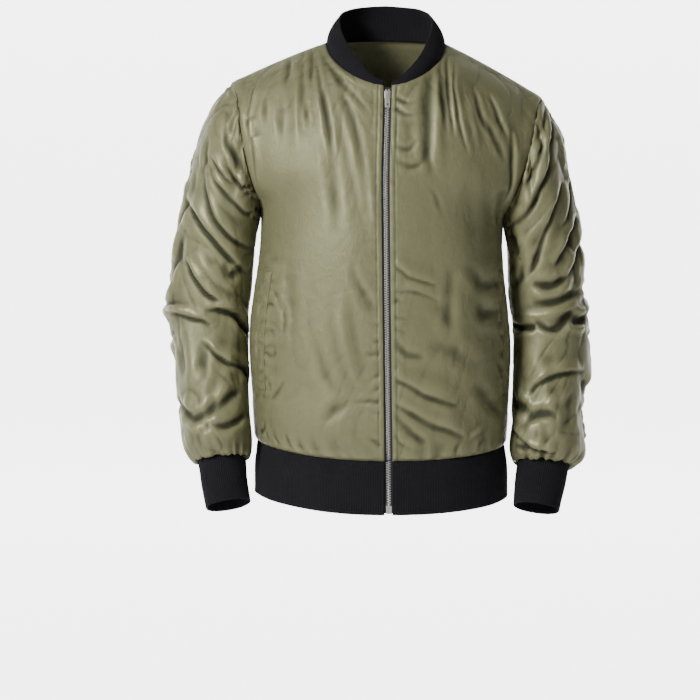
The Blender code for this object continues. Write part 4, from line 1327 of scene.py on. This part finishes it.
@dataclass
class Torso:
    """The two fronts and the back.

    Attributes:
        lower: Rows up to the armpit, as shares.
        upper: Rows from the armpit to the shoulder, as shares.
    """

    tailor: Tailor
    lower: Array = field(default_factory=lambda: shares_with_ends(130, high=False))
    upper: Array = field(default_factory=lambda: shares_with_ends(78, low=False))

    def half(self, side: Side, face: Face) -> Array:
        """Half a panel on its fine grid, from the hem up and from the middle line out to the side."""
        marks, steps = COLUMN_RUNS[face]
        columns = np.interp(np.arange(sum(steps) + 1), np.cumsum(steps), marks)
        corner = CORNER[face]
        shares = columns / (corner + SHOULDER_COLUMNS)
        neck = neckline(side, face, columns[columns <= corner] / corner)
        shoulder = shoulder_seam(side, (columns[columns > corner] - corner) / SHOULDER_COLUMNS)
        edge = ZIP_OPENING if face is Face.FRONT else 0.0
        sections = [Section(*row) for row in np.array(SECTIONS[face]) / 1000]
        curves = [section_curve(section, side, shares, edge) for section in sections]
        rows = np.array([*curves, [*neck, *shoulder]])
        low_places = places_at(rows[: ARMPIT + 1, -1:], self.lower)
        high_places = ARMPIT + places_at(rows[ARMPIT:], self.upper)
        grid = spline_rows(rows, np.concatenate([low_places, high_places[1:]]))
        seam = spline_rows(rows[: ARMPIT + 1, -1:], low_places)
        weight = np.clip(1 - (1 - shares) / SIDE_BLEND, 0, 1)[None, :, None]
        grid[: len(self.lower)] += (seam - grid[: len(self.lower), -1:]) * weight
        return grid

    def armhole(self, side: Side, face: Face) -> Array:
        """The armhole's edge on a panel, from the shoulder tip down to the armpit."""
        return self.half(side, face)[len(self.lower) - 1 :, -1][::-1]

    def front(self, side: Side) -> Sheet:
        """A front panel: long soft drapes, tucks out of the armhole, and puckers by the zip and the pocket.

        Args:
            side: The front's side.

        Returns:
            The folded front, for the pocket's welt to lie on.
        """
        right = side is Side.RIGHT
        grid = self.half(side, Face.FRONT)
        sheet = Sheet(f"front_cloth_{side.value}", grid[:, ::-1] if right else grid, False, 3 if right else 4)
        zip_gap, side_gap = (sheet.last, sheet.first) if right else (sheet.first, sheet.last)
        sheet.fold_all(creases(FRONT_CREASES, side), 0)
        soft = ease(sheet.below / 0.08) * ease(sheet.above / 0.08) * ease(zip_gap / 0.05)
        sheet.crumple(0.075, 0.0026, (0.2 * side.sign, 0.1, 2.4), soft)
        low = 1 - ease((sheet.below - 0.10) / 0.30)
        high = 1 - ease((sheet.above - 0.06) / 0.16)
        sheet.crumple(0.022, 0.0008, (0.3 * side.sign, 0.1, 6.0), high, 10)
        sheet.crumple(0.040, 0.0005, (0.5, 0.0, 2.0), 0.35 + 0.65 * low, 20)
        sheet.crumple(0.018, 0.00012, (0.5, 0.0, 1.3), 0.5 + low, 30)
        sheet.gather(sheet.below, 0.016, 0.0016, 0.026, 40)
        sheet.pucker(zip_gap, 0.010, 0.0011, 0.012, 50)
        sheet.pucker(side_gap, 0.014, 0.0008, 0.012, 55)
        self.pocket_bed(sheet, side, side_gap)
        sheet.settle(0.0065)
        fold, groove = bell((zip_gap - 0.0035) / 0.0026), bell((zip_gap - PLACKET_STITCHES) / 0.0010)
        sheet.height += 0.0005 * fold - 0.00055 * groove
        sheet.seam(side_gap)
        sheet.seam(sheet.below, 0.0011)
        sheet.seam(sheet.above)
        loose = np.zeros(grid.shape[:2])
        loose[:, -1 if right else 0] = 1.0
        row = stitches(f"placket_stitches_{side.value}", *self.stitched_edge(sheet, zip_gap))
        rests_on = ["back", f"zip_tape_{side.value}"]
        self.tailor.sew(sheet, f"front_{side.value}", (0.275, 0.615), "hung", rests_on, [row], loose)
        declare(row, self.tailor.thread)
        return sheet

    def pocket_bed(self, sheet: Sheet, side: Side, side_gap: Array) -> None:
        """Puckers round a pocket, and a flat place where its welt lies."""
        low, high = WELT_FROM_SIDE[side]
        z = sheet.grid[..., 2]
        share = np.clip((z - WELT_BOTTOM_Z) / (WELT_TOP_Z - WELT_BOTTOM_Z), 0, 1)
        middle = low + (high - low) * share - WELT_WIDTH / 2
        beyond = np.maximum(WELT_BOTTOM_Z - z, 0) + np.maximum(z - WELT_TOP_Z, 0)
        gap = np.hypot(np.maximum(np.abs(side_gap - middle) - WELT_WIDTH / 2, 0), beyond)
        sheet.pucker(gap, 0.012, 0.0030, 0.020, 60)
        bed = 1 - ease((gap - 0.0005) / 0.004)
        sheet.height = sheet.height * (1 - bed) - 0.0002 * bed

    def stitched_edge(self, sheet: Sheet, zip_gap: Array) -> tuple[Array, Array]:
        """The line where a front is stitched down beside the zip, just proud of it, and its normals."""
        pick = np.arange(len(zip_gap)), np.abs(zip_gap - PLACKET_STITCHES).argmin(axis=1)
        normals = sheet.normals[pick][3:-4]
        return sheet.folded()[pick][3:-4] + normals * PROUD, normals

    def back(self) -> None:
        """The back, in one piece: drapes like the fronts', and gathers over the hem band."""
        left, right = self.half(Side.LEFT, Face.BACK), self.half(Side.RIGHT, Face.BACK)
        sheet = Sheet("back_cloth", np.concatenate([left[:, ::-1], right[:, 1:]], axis=1), False, 5)
        drapes = []
        for side, low, high, seed in ((Side.RIGHT, -0.186, -0.006, 16), (Side.LEFT, 0.006, 0.180, 15)):
            shown = creases(FRONT_CREASES, side)
            given = [fold for fold in shown if fold.fold is not Fold.TROUGH or fold.taper is Taper.SOFT]
            drapes += strewn(given, View.BACK, (low, high, -0.575, -0.012), seed)
        sheet.fold_all(drapes, 1)
        sheet.fold_all(creases(BACK_CREASES, None, View.BACK), 100)
        soft = ease(sheet.below / 0.08) * ease(sheet.above / 0.08)
        low = 1 - ease((sheet.below - 0.10) / 0.30)
        sheet.crumple(0.080, 0.0028, (0.2, 0.1, 2.2), soft)
        sheet.crumple(0.040, 0.0006, (0.9, 0.0, 1.6), 0.35 + 0.65 * low, 20)
        sheet.crumple(0.018, 0.00012, (0.5, 0.0, 1.3), 0.5 + low, 30)
        sheet.gather(sheet.below, 0.020, 0.0020, 0.036, 40)
        sheet.pucker(sheet.first, 0.014, 0.0008, 0.012, 55)
        sheet.pucker(sheet.last, 0.014, 0.0008, 0.012, 56)
        sheet.settle(0.0070)
        for gap in (sheet.first, sheet.last, sheet.below, sheet.above):
            sheet.seam(gap)
        self.tailor.sew(sheet, "back", (0.56, 0.62), "hung", ["collar"], [])


@dataclass
class Sleeves:
    """The two sleeves with their cuffs.

    Attributes:
        torso: Gives the armholes, whose points the sleeves share.
        rows: Where a sleeve's rows stand, as shares from armhole to cuff, and cuff_rows: a cuff's.
    """

    torso: Torso
    rows: Array = field(default_factory=lambda: shares_with_ends(169))
    cuff_rows: Array = field(default_factory=lambda: shares_with_ends(15))

    def tube(self, name: str, rows: Array, shares: Array, side: Side, seed: int) -> Sheet:
        """A tube through rings, read at shares of its length, its columns anticlockwise on either side."""
        grid = spline_rows(rows, places_at(rows, shares))[::-1]
        return Sheet(f"{name}_{side.value}", grid if side is Side.RIGHT else grid[:, ::-1], True, seed)

    def sleeve(self, side: Side) -> None:
        """A sleeve: slanting tucks down its front, deep folds at the elbow and gathers over the cuff.

        Args:
            side: The sleeve's side.
        """
        right = side is Side.RIGHT
        front, back = self.torso.armhole(side, Face.FRONT), self.torso.armhole(side, Face.BACK)
        half_turn = np.pi * (1 - self.torso.upper[::-1])
        angles = np.concatenate([half_turn, 2 * np.pi - half_turn[-2:0:-1]])
        rings = ring_curves(SLEEVE_RINGS[side], side, angles)
        rows = np.array([[*front, *back[-2:0:-1]], *rings])
        sheet = self.tube("sleeve_cloth", rows, self.rows, side, 7 if right else 8)
        Draper(31 if right else 32).drape(sheet)
        shown = creases(SLEEVE_CREASES, side)
        back_box = (-0.300, -0.196, -0.60, -0.10) if right else (0.186, 0.280, -0.60, -0.12)
        behind = strewn(shown, View.BACK, back_box, 21)
        outside = strewn(shown, View.RIGHT if right else View.LEFT, (-0.045, 0.055, -0.59, -0.11), 22)
        sheet.fold_all(shown + behind + outside, 1)
        slant, even = (3.0 * side.sign, 0.5, 4.0), np.ones(sheet.height.shape)
        sheet.crumple(0.032, 0.0012, slant, even, 20)
        sheet.crumple(0.014, 0.0002, slant, even, 30)
        sheet.gather(sheet.below, 0.0125, 0.0028, 0.030, 40)
        sheet.gather(sheet.above, 0.024, 0.0010, 0.040, 45)
        sheet.settle(0.0090)
        sheet.seam(sheet.above)
        sheet.seam(sheet.below, 0.0012)
        rests_on = [f"front_{side.value}", "back"]
        self.torso.tailor.sew(sheet, f"sleeve_{side.value}", (0.46, 0.56), "hung", rests_on, [])

    def cuff(self, side: Side) -> None:
        """A rib cuff: a tube whose ribs are as deep as they are, softened at its seam."""
        ring = Ring(*np.array(CUFF_RINGS[side][1]) / 1000)
        around = 2 * np.pi * math.sqrt((((ring.outer_x - ring.inner_x) / 2) ** 2 + ring.half_depth**2) / 2)
        columns = round(around / RIB_PITCH) * COLUMNS_PER_RIB
        turn = np.arange(columns) * 2 * np.pi
        rows = ring_curves(CUFF_RINGS[side], side, turn / columns)
        sheet = self.tube("cuff_rib", rows, self.cuff_rows, side, 12)
        sheet.crumple(0.030, 0.0010, (0.2, 0.2, 1.5), ease(sheet.above / 0.012))
        rise = 0.5 + 0.5 * np.cos(turn / COLUMNS_PER_RIB)
        node, sleeve = f"cuff_{side.value}", f"sleeve_{side.value}"
        self.torso.tailor.knit(sheet, node, (0.22, 0.145), sleeve, rise, -1, 0.0006)


@dataclass
class Ribbing:
    """The collar and the hem band.

    Attributes:
        torso: Gives the necklines and hems that they are sewn to.
        bulge: How far the collar swells out at mid height.
        sunk: How far its foot goes below the neckline, and tucked: how far under it.
    """

    torso: Torso
    bulge: float = 0.0032
    sunk: float = 0.0032
    tucked: float = 0.0016

    def ribs_along(self, line: Array, values: Array) -> tuple[Array, Array]:
        """Values given at a line's points, read at some columns to each rib, and the ribs' rise, 0 to 1."""
        reach = reach_along(line)
        ribs = round(reach[-1] / RIB_PITCH)
        share = np.linspace(0, 1, ribs * COLUMNS_PER_RIB + 1)
        return read_at(share * reach[-1], reach, values), 0.5 - 0.5 * np.cos(share * ribs * 2 * np.pi)

    def collar(self) -> None:
        """The collar: a rib strip that stands on the neckline, leans in, and tapers to a point at the zip."""
        shares = np.linspace(0, 1, 121)
        halves = []
        for side in (Side.LEFT, Side.RIGHT):
            seam = [*neckline(side, Face.FRONT, shares), *neckline(side, Face.BACK, shares[::-1])[1:]]
            halves.append(np.column_stack([seam, np.linspace(0, 1, 241)]))
        line = np.concatenate([halves[0], halves[1][-2::-1]])
        read, rise = self.ribs_along(line[:, :3], line)
        foot, along = read[:, :3], read[:, 3]
        knots, *stands = zip(*COLLAR_STANDS)
        fine = np.linspace(0, 1, 401)
        kernel = bell(np.linspace(-2, 2, 61))
        wide = [np.pad(np.interp(fine, knots, values), 30, "edge") for values in stands]
        tall, lean = (np.interp(along, fine, np.convolve(w, kernel / kernel.sum(), "valid")) for w in wide)
        outward = unit((foot - [0.0, NECK_AXIS_Y, 0.0]) * [1.0, 1.0, 0.0])
        step = np.column_stack([-outward[:, :2] * lean[:, None], tall])
        shares = shares_with_ends(9)[:, None, None]
        swell = self.bulge * np.sin(np.pi * shares) * np.minimum(1, tall / 0.03)[None, :, None]
        grid = foot[None] + shares * step[None] + swell * outward[None]
        grid[0] -= (unit(step) * self.sunk + outward * self.tucked) * ease(along / 0.10)[:, None]
        sheet = Sheet("collar_rib", grid, False, 14)
        sheet.crumple(0.040, 0.0010, (0.2, 0.2, 0.6), ease(sheet.below / 0.01))
        self.torso.tailor.knit(sheet, "collar", (0.50, 0.10), "back", rise, 0, 0.0006)

    def band(self) -> None:
        """The hem band: a rib strip all round the hem from one side of the zip to the other."""
        hems = [self.torso.half(side, face)[0] for side in (Side.LEFT, Side.RIGHT) for face in Face]
        line = np.concatenate([hems[0], hems[1][-2::-1], hems[3][1:], hems[2][-2::-1]])
        seam, rise = self.ribs_along(line, line)
        drops = shares_with_ends(7)
        stand = np.interp(drops, *zip(*BAND_PROFILE)) + 0.0012 * np.sin(np.pi * drops) ** 2
        grid = seam[None] + stand[:, None, None] * unit(seam * [1.0, 1.0, 0.0])[None]
        grid[:, :, 2] -= (drops * BAND_DROP)[:, None]
        sheet = Sheet("hem_rib", grid[::-1], False, 15)
        mask = ease(sheet.above / 0.02) * ease(sheet.first / 0.03) * ease(sheet.last / 0.03)
        sheet.crumple(0.055, 0.0016, (0.3, 0.3, 1.8), mask)
        self.torso.tailor.knit(sheet, "hem_band", (1.02, 0.150), "back", rise, -1, 0.0008)


@dataclass
class Pockets:
    """The welts over the two slanting pockets, with a row of stitches down each side.

    Attributes:
        rows: A welt's rows of points, and columns: its points across.
        lift: How far a welt stands on the front.
        inset: How far each row of stitches is from the edge.
        cell: How large the puckers are.
    """

    tailor: Tailor
    rows: int = 110
    columns: int = 15
    lift: float = 0.0010
    inset: float = 0.0028
    cell: float = 0.0105

    def strip(self, sheet: Sheet, side: Side, reach: Array) -> tuple[Array, Array]:
        """Points and normals on a front at distances from its side seam, at every height of the welt.

        Args:
            sheet: The front.
            side: Its side.
            reach: Distances from the side seam, as (row, column).

        Returns:
            The points and the normals.
        """
        gap, source = sheet.first, np.concatenate([sheet.grid, sheet.normals], axis=2)
        if side is Side.LEFT:
            gap, source = sheet.last[:, ::-1], source[:, ::-1]
        heights = np.linspace(WELT_BOTTOM_Z, WELT_TOP_Z, len(reach))
        places = np.interp(heights, source[:, 0, 2], np.arange(len(source)))
        found = []
        for place, wanted in zip(places, reach):
            low, part = int(place), place % 1
            from_side, row = (values[low] * (1 - part) + values[low + 1] * part for values in (gap, source))
            found.append(read_at(wanted, from_side, row))
        read = np.array(found)
        return read[..., :3], unit(read[..., 3:])

    def welt(self, sheet: Sheet, side: Side) -> None:
        """A welt: a puckered strip raised on the front, with its two rows of stitches."""
        right = side is Side.RIGHT
        middle = np.linspace(*WELT_FROM_SIDE[side], self.rows)[:, None]
        points, normals = self.strip(sheet, side, middle - WELT_WIDTH * np.linspace(0, 1, self.columns))
        points += normals * self.lift
        welt = Sheet(f"pocket_cloth_{side.value}", points[:, ::-1] if right else points, False, 17)
        inner = welt.last if right else welt.first
        place = np.stack([welt.along, inner * 0.5, 0 * inner], axis=-1) / self.cell
        puckers = 0.0016 * Noise(96 if right else 95).at(place) + 0.0007 * Noise(95).at(place * 2.3)
        welt.height += 0.0007 * ease(welt.edge / 0.004) + puckers * ease(welt.edge / 0.003)
        grooves = (self.inset, WELT_WIDTH - self.inset)
        for groove in grooves:
            welt.height -= 0.0004 * bell((inner - groove) / 0.0010)
        rows = []
        for number, groove in enumerate(grooves):
            column = int(np.argmin(np.abs(inner[self.rows // 2] - groove)))
            normals = welt.normals[3:-3, column]
            line = welt.folded()[3:-3, column] + normals * PROUD
            rows.append(stitches(f"pocket_stitches_{side.value}_{number}", line, normals, 0.0022, 0.0008))
            declare(rows[-1], self.tailor.thread)
        node, loose = f"pocket_welt_{side.value}", np.ones(welt.height.shape)
        self.tailor.sew(welt, node, (0.0185, 0.171), "laid", [f"front_{side.value}"], rows, loose)


@dataclass
class Zip:
    """The front zip: two woven tapes, two rows of teeth, and the slider, pull, stops and box.

    Attributes:
        torso: Gives the line that the zip follows.
        tape: The tapes' finish, and metal: the finish of all the rest.
        depth: From the shell's face back to the middle of the tape.
        pitch: From one tooth to the next on the same tape.
        tape_wall: The tape's thickness.
        tail: How far a tape reaches below its solid, inside the hem band.
        top_gap: How far it ends below its solid's top.
        rows: How many rows of points it has.
    """

    torso: Torso
    tape: Material
    metal: Material
    depth: float = 0.0036
    pitch: float = 0.00235
    tape_wall: float = 0.0008
    tail: float = 0.0105
    top_gap: float = 0.0003
    rows: int = 260

    def line(self, heights: Array) -> tuple[Array, Array, Array]:
        """The middle of the tape at each height, with the directions out of the cloth and up the zip."""
        panel = self.torso.half(Side.LEFT, Face.FRONT)[:, 0]
        drops = np.linspace(1, 0, 9)
        stand = np.interp(drops, *zip(*BAND_PROFILE))
        line = np.concatenate([panel[0] - np.stack([0 * drops, stand, drops * BAND_DROP], axis=1), panel[1:]])
        line[:, 0] = zip_x(line[:, 2])
        out = np.cross([1.0, 0.0, 0.0], unit(np.gradient(line, axis=0) * [0.0, 1.0, 1.0]))
        read = read_at(heights, line[:, 2], np.column_stack([out, line[:, 1]]))
        outward = unit(read[:, :3])
        points = np.stack([zip_x(heights), read[:, 3], heights], axis=1)
        return points - outward * self.depth, outward, np.cross(outward, [1.0, 0.0, 0.0])

    def tape_strip(self, side: Side) -> None:
        """A tape: a thin woven strip with a rounded bead where the teeth hold it."""
        low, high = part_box(f"zip_tape_{side.value}")
        heights = np.linspace(low.z - self.tail, high.z - self.top_gap, self.rows)
        points, outward, _ = self.line(heights)
        across = np.array([0.6, 1.6, 2.6, 3.1, 3.6, 4.2, 6.0, 8.0, 10.5, 13.0]) / 1000
        lift = self.tape_wall / 2 + 0.0005 * bell((across - 0.0031) / 0.0007)
        if side is Side.RIGHT:
            across, lift = -across[::-1], lift[::-1]
        grid = points[:, None] + across[:, None] * [1.0, 0.0, 0.0] + outward[:, None] * lift[:, None]
        sheet = Sheet(f"woven_tape_{side.value}", grid, False, 19)
        made = shell_object(sheet, self.tape_wall, np.ones(grid.shape[:2]))
        declare(made, self.tape, f"zip_tape_{side.value}")

    def teeth(self, side: Side) -> None:
        """A row of teeth: each a bevelled block with a rounded nose that reaches past the middle line."""
        low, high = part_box(f"zip_chain_{side.value}")
        start = low.z + self.pitch * (0.5 if side is Side.RIGHT else 1.0)
        points, outward, up = self.line(np.arange(start, high.z - self.pitch / 2, self.pitch))
        half = [(-0.5, 0.0), (-0.3, 0.40), (0.5, 0.52), (1.6, 0.40), (2.5, 0.56), (3.2, 0.50)]
        outline = np.array(half + [(x, -z) for x, z in half[:0:-1]]) / 1000
        outline[:, 0] *= side.sign
        centre = outline.mean(axis=0)
        levels = np.array([(-0.0010, 0.85), (-0.0006, 1.0), (0.0004, 1.0), (0.0010, 0.78), (0.0013, 0.35)])
        flat = centre + (outline - centre) * levels[:, 1, None, None]
        points, outward, up = (rows[:, None, None] for rows in (points, outward, up))
        centres = points + outward * levels[:, 0, None, None]
        verts = centres + flat[..., :1] * [1.0, 0.0, 0.0] + flat[..., 1:] * up
        made = tubes_object(f"zip_teeth_{side.value}", verts[:, :, ::-1] if side is Side.RIGHT else verts)
        declare(made, self.metal, f"zip_chain_{side.value}")

    def dress(self) -> None:
        """Gives the solids that stay the zip's metal."""
        for node in ("zip_slider", "zip_pull", "zip_box", "zip_stop_right", "zip_stop_left"):
            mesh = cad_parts[node].data
            mesh.materials.clear()
            mesh.materials.append(self.metal)


# ---------------------------------------------------------------- the studio
@dataclass(frozen=True)
class Lamp:
    """A soft area light: where it is, where it points, how big it is and how strong."""

    name: str
    place: Triple
    target: Triple
    size: tuple[float, float]
    watts: float


@dataclass(frozen=True)
class Studio:
    """A plain pale studio: a floor that curves up behind and glows there, soft lights and the camera."""

    eye: Triple = (-0.0515, -3.0, -0.20)
    aim: Triple = (-0.0515, 0.0, -0.4495)
    lens: float = 106.77
    floor_z: float = -1.42
    glow: float = 3.8
    world: float = 0.02
    lamps: tuple[Lamp, ...] = (
        Lamp("key", (-1.9, -2.2, 0.95), (0.0, 0.0, -0.34), (0.7, 0.9), 150.0),
        Lamp("fill", (2.0, -2.4, 0.1), (0.0, 0.0, -0.30), (0.8, 1.6), 13.0),
        Lamp("top", (-0.3, -0.9, 1.9), (0.0, 0.0, -0.2), (1.0, 0.7), 8.0),
    )

    def stand(self, name: str, data: bpy.types.ID, place: Triple, target: Triple) -> Object:
        """Puts a lamp or a camera at a place, turned to its target."""
        made = bpy.data.objects.new(name, data)
        made.location = place
        made.rotation_euler = (Vector(target) - Vector(place)).to_track_quat("-Z", "Y").to_euler()
        bpy.context.scene.collection.objects.link(made)
        return made

    def floor(self) -> None:
        """The floor: flat, then a quarter of an ellipse, then upright."""
        bend = np.linspace(0.05, math.pi / 2, 24)
        run = np.concatenate([np.linspace(-9, 5.0, 20), 5.0 + 2.0 * np.sin(bend), [7.0]])
        rise = np.concatenate([np.zeros(20), 2.0 - 2.0 * np.cos(bend), [7.5]]) + self.floor_z
        grid = np.stack(np.broadcast_arrays(np.linspace(-12, 12, 25), run[:, None], rise[:, None]), axis=-1)
        grey = Graph("studio_grey", roughness=0.9, emission_strength=self.glow)
        tone = grey.noise(grey.coordinates("Object", 0.6))
        _, away, _ = grey.axes(grey.coordinates("Object", 1.0, 1.6, 1.0))
        lit = grey.mixed((0.0, 0.0, 0.0), (1.0, 1.0, 1.0), (away - 1.8).clamped())
        grey.tree.links.new(lit, grey.shader_input("emission_color"))
        pale = grey.mixed((0.86, 0.86, 0.86), (0.89, 0.89, 0.89), tone)
        grey.tree.links.new(pale, grey.shader_input("base_color"))
        made = grid_object("studio_floor", grid, False)
        made.data.materials.append(grey.material)

    def build(self) -> None:
        """Makes the floor, the lights, the world and the camera."""
        self.floor()
        for lamp in self.lamps:
            light = bpy.data.lights.new(lamp.name, "AREA")
            light.shape, light.size, light.size_y = "RECTANGLE", *lamp.size
            light.energy = lamp.watts
            self.stand(lamp.name, light, lamp.place, lamp.target)
        world = bpy.data.worlds.new("studio_world")
        bpy.context.scene.world = world
        world.use_nodes = True
        sky = world.node_tree.nodes["Background"].inputs
        sky["Color"].default_value, sky["Strength"].default_value = (0.90, 0.90, 0.90, 1.0), self.world
        camera = bpy.data.cameras.new("camera")
        camera.lens = self.lens
        bpy.context.scene.camera = self.stand("camera", camera, self.eye, self.aim)


def main() -> None:
    """Builds the studio and every piece."""
    logging.basicConfig(level=logging.INFO, format="%(name)s: %(message)s")
    Studio().build()
    shell, rib = Taffeta().make("olive_taffeta"), RibKnit().make("black_rib_knit")
    tailor = Tailor(shell, rib, Thread().make("olive_thread"))
    torso = Torso(tailor)
    pockets = Pockets(tailor)
    for side in Side:
        pockets.welt(torso.front(side), side)
    torso.back()
    sleeves = Sleeves(torso)
    for side in Side:
        sleeves.sleeve(side)
        sleeves.cuff(side)
    ribbing = Ribbing(torso)
    ribbing.collar()
    ribbing.band()
    front_zip = Zip(torso, WovenTape().make("dark_tape"), Silver().make("zip_silver"))
    for side in Side:
        front_zip.tape_strip(side)
        front_zip.teeth(side)
    front_zip.dress()


if __name__ == "__main__":
    main()
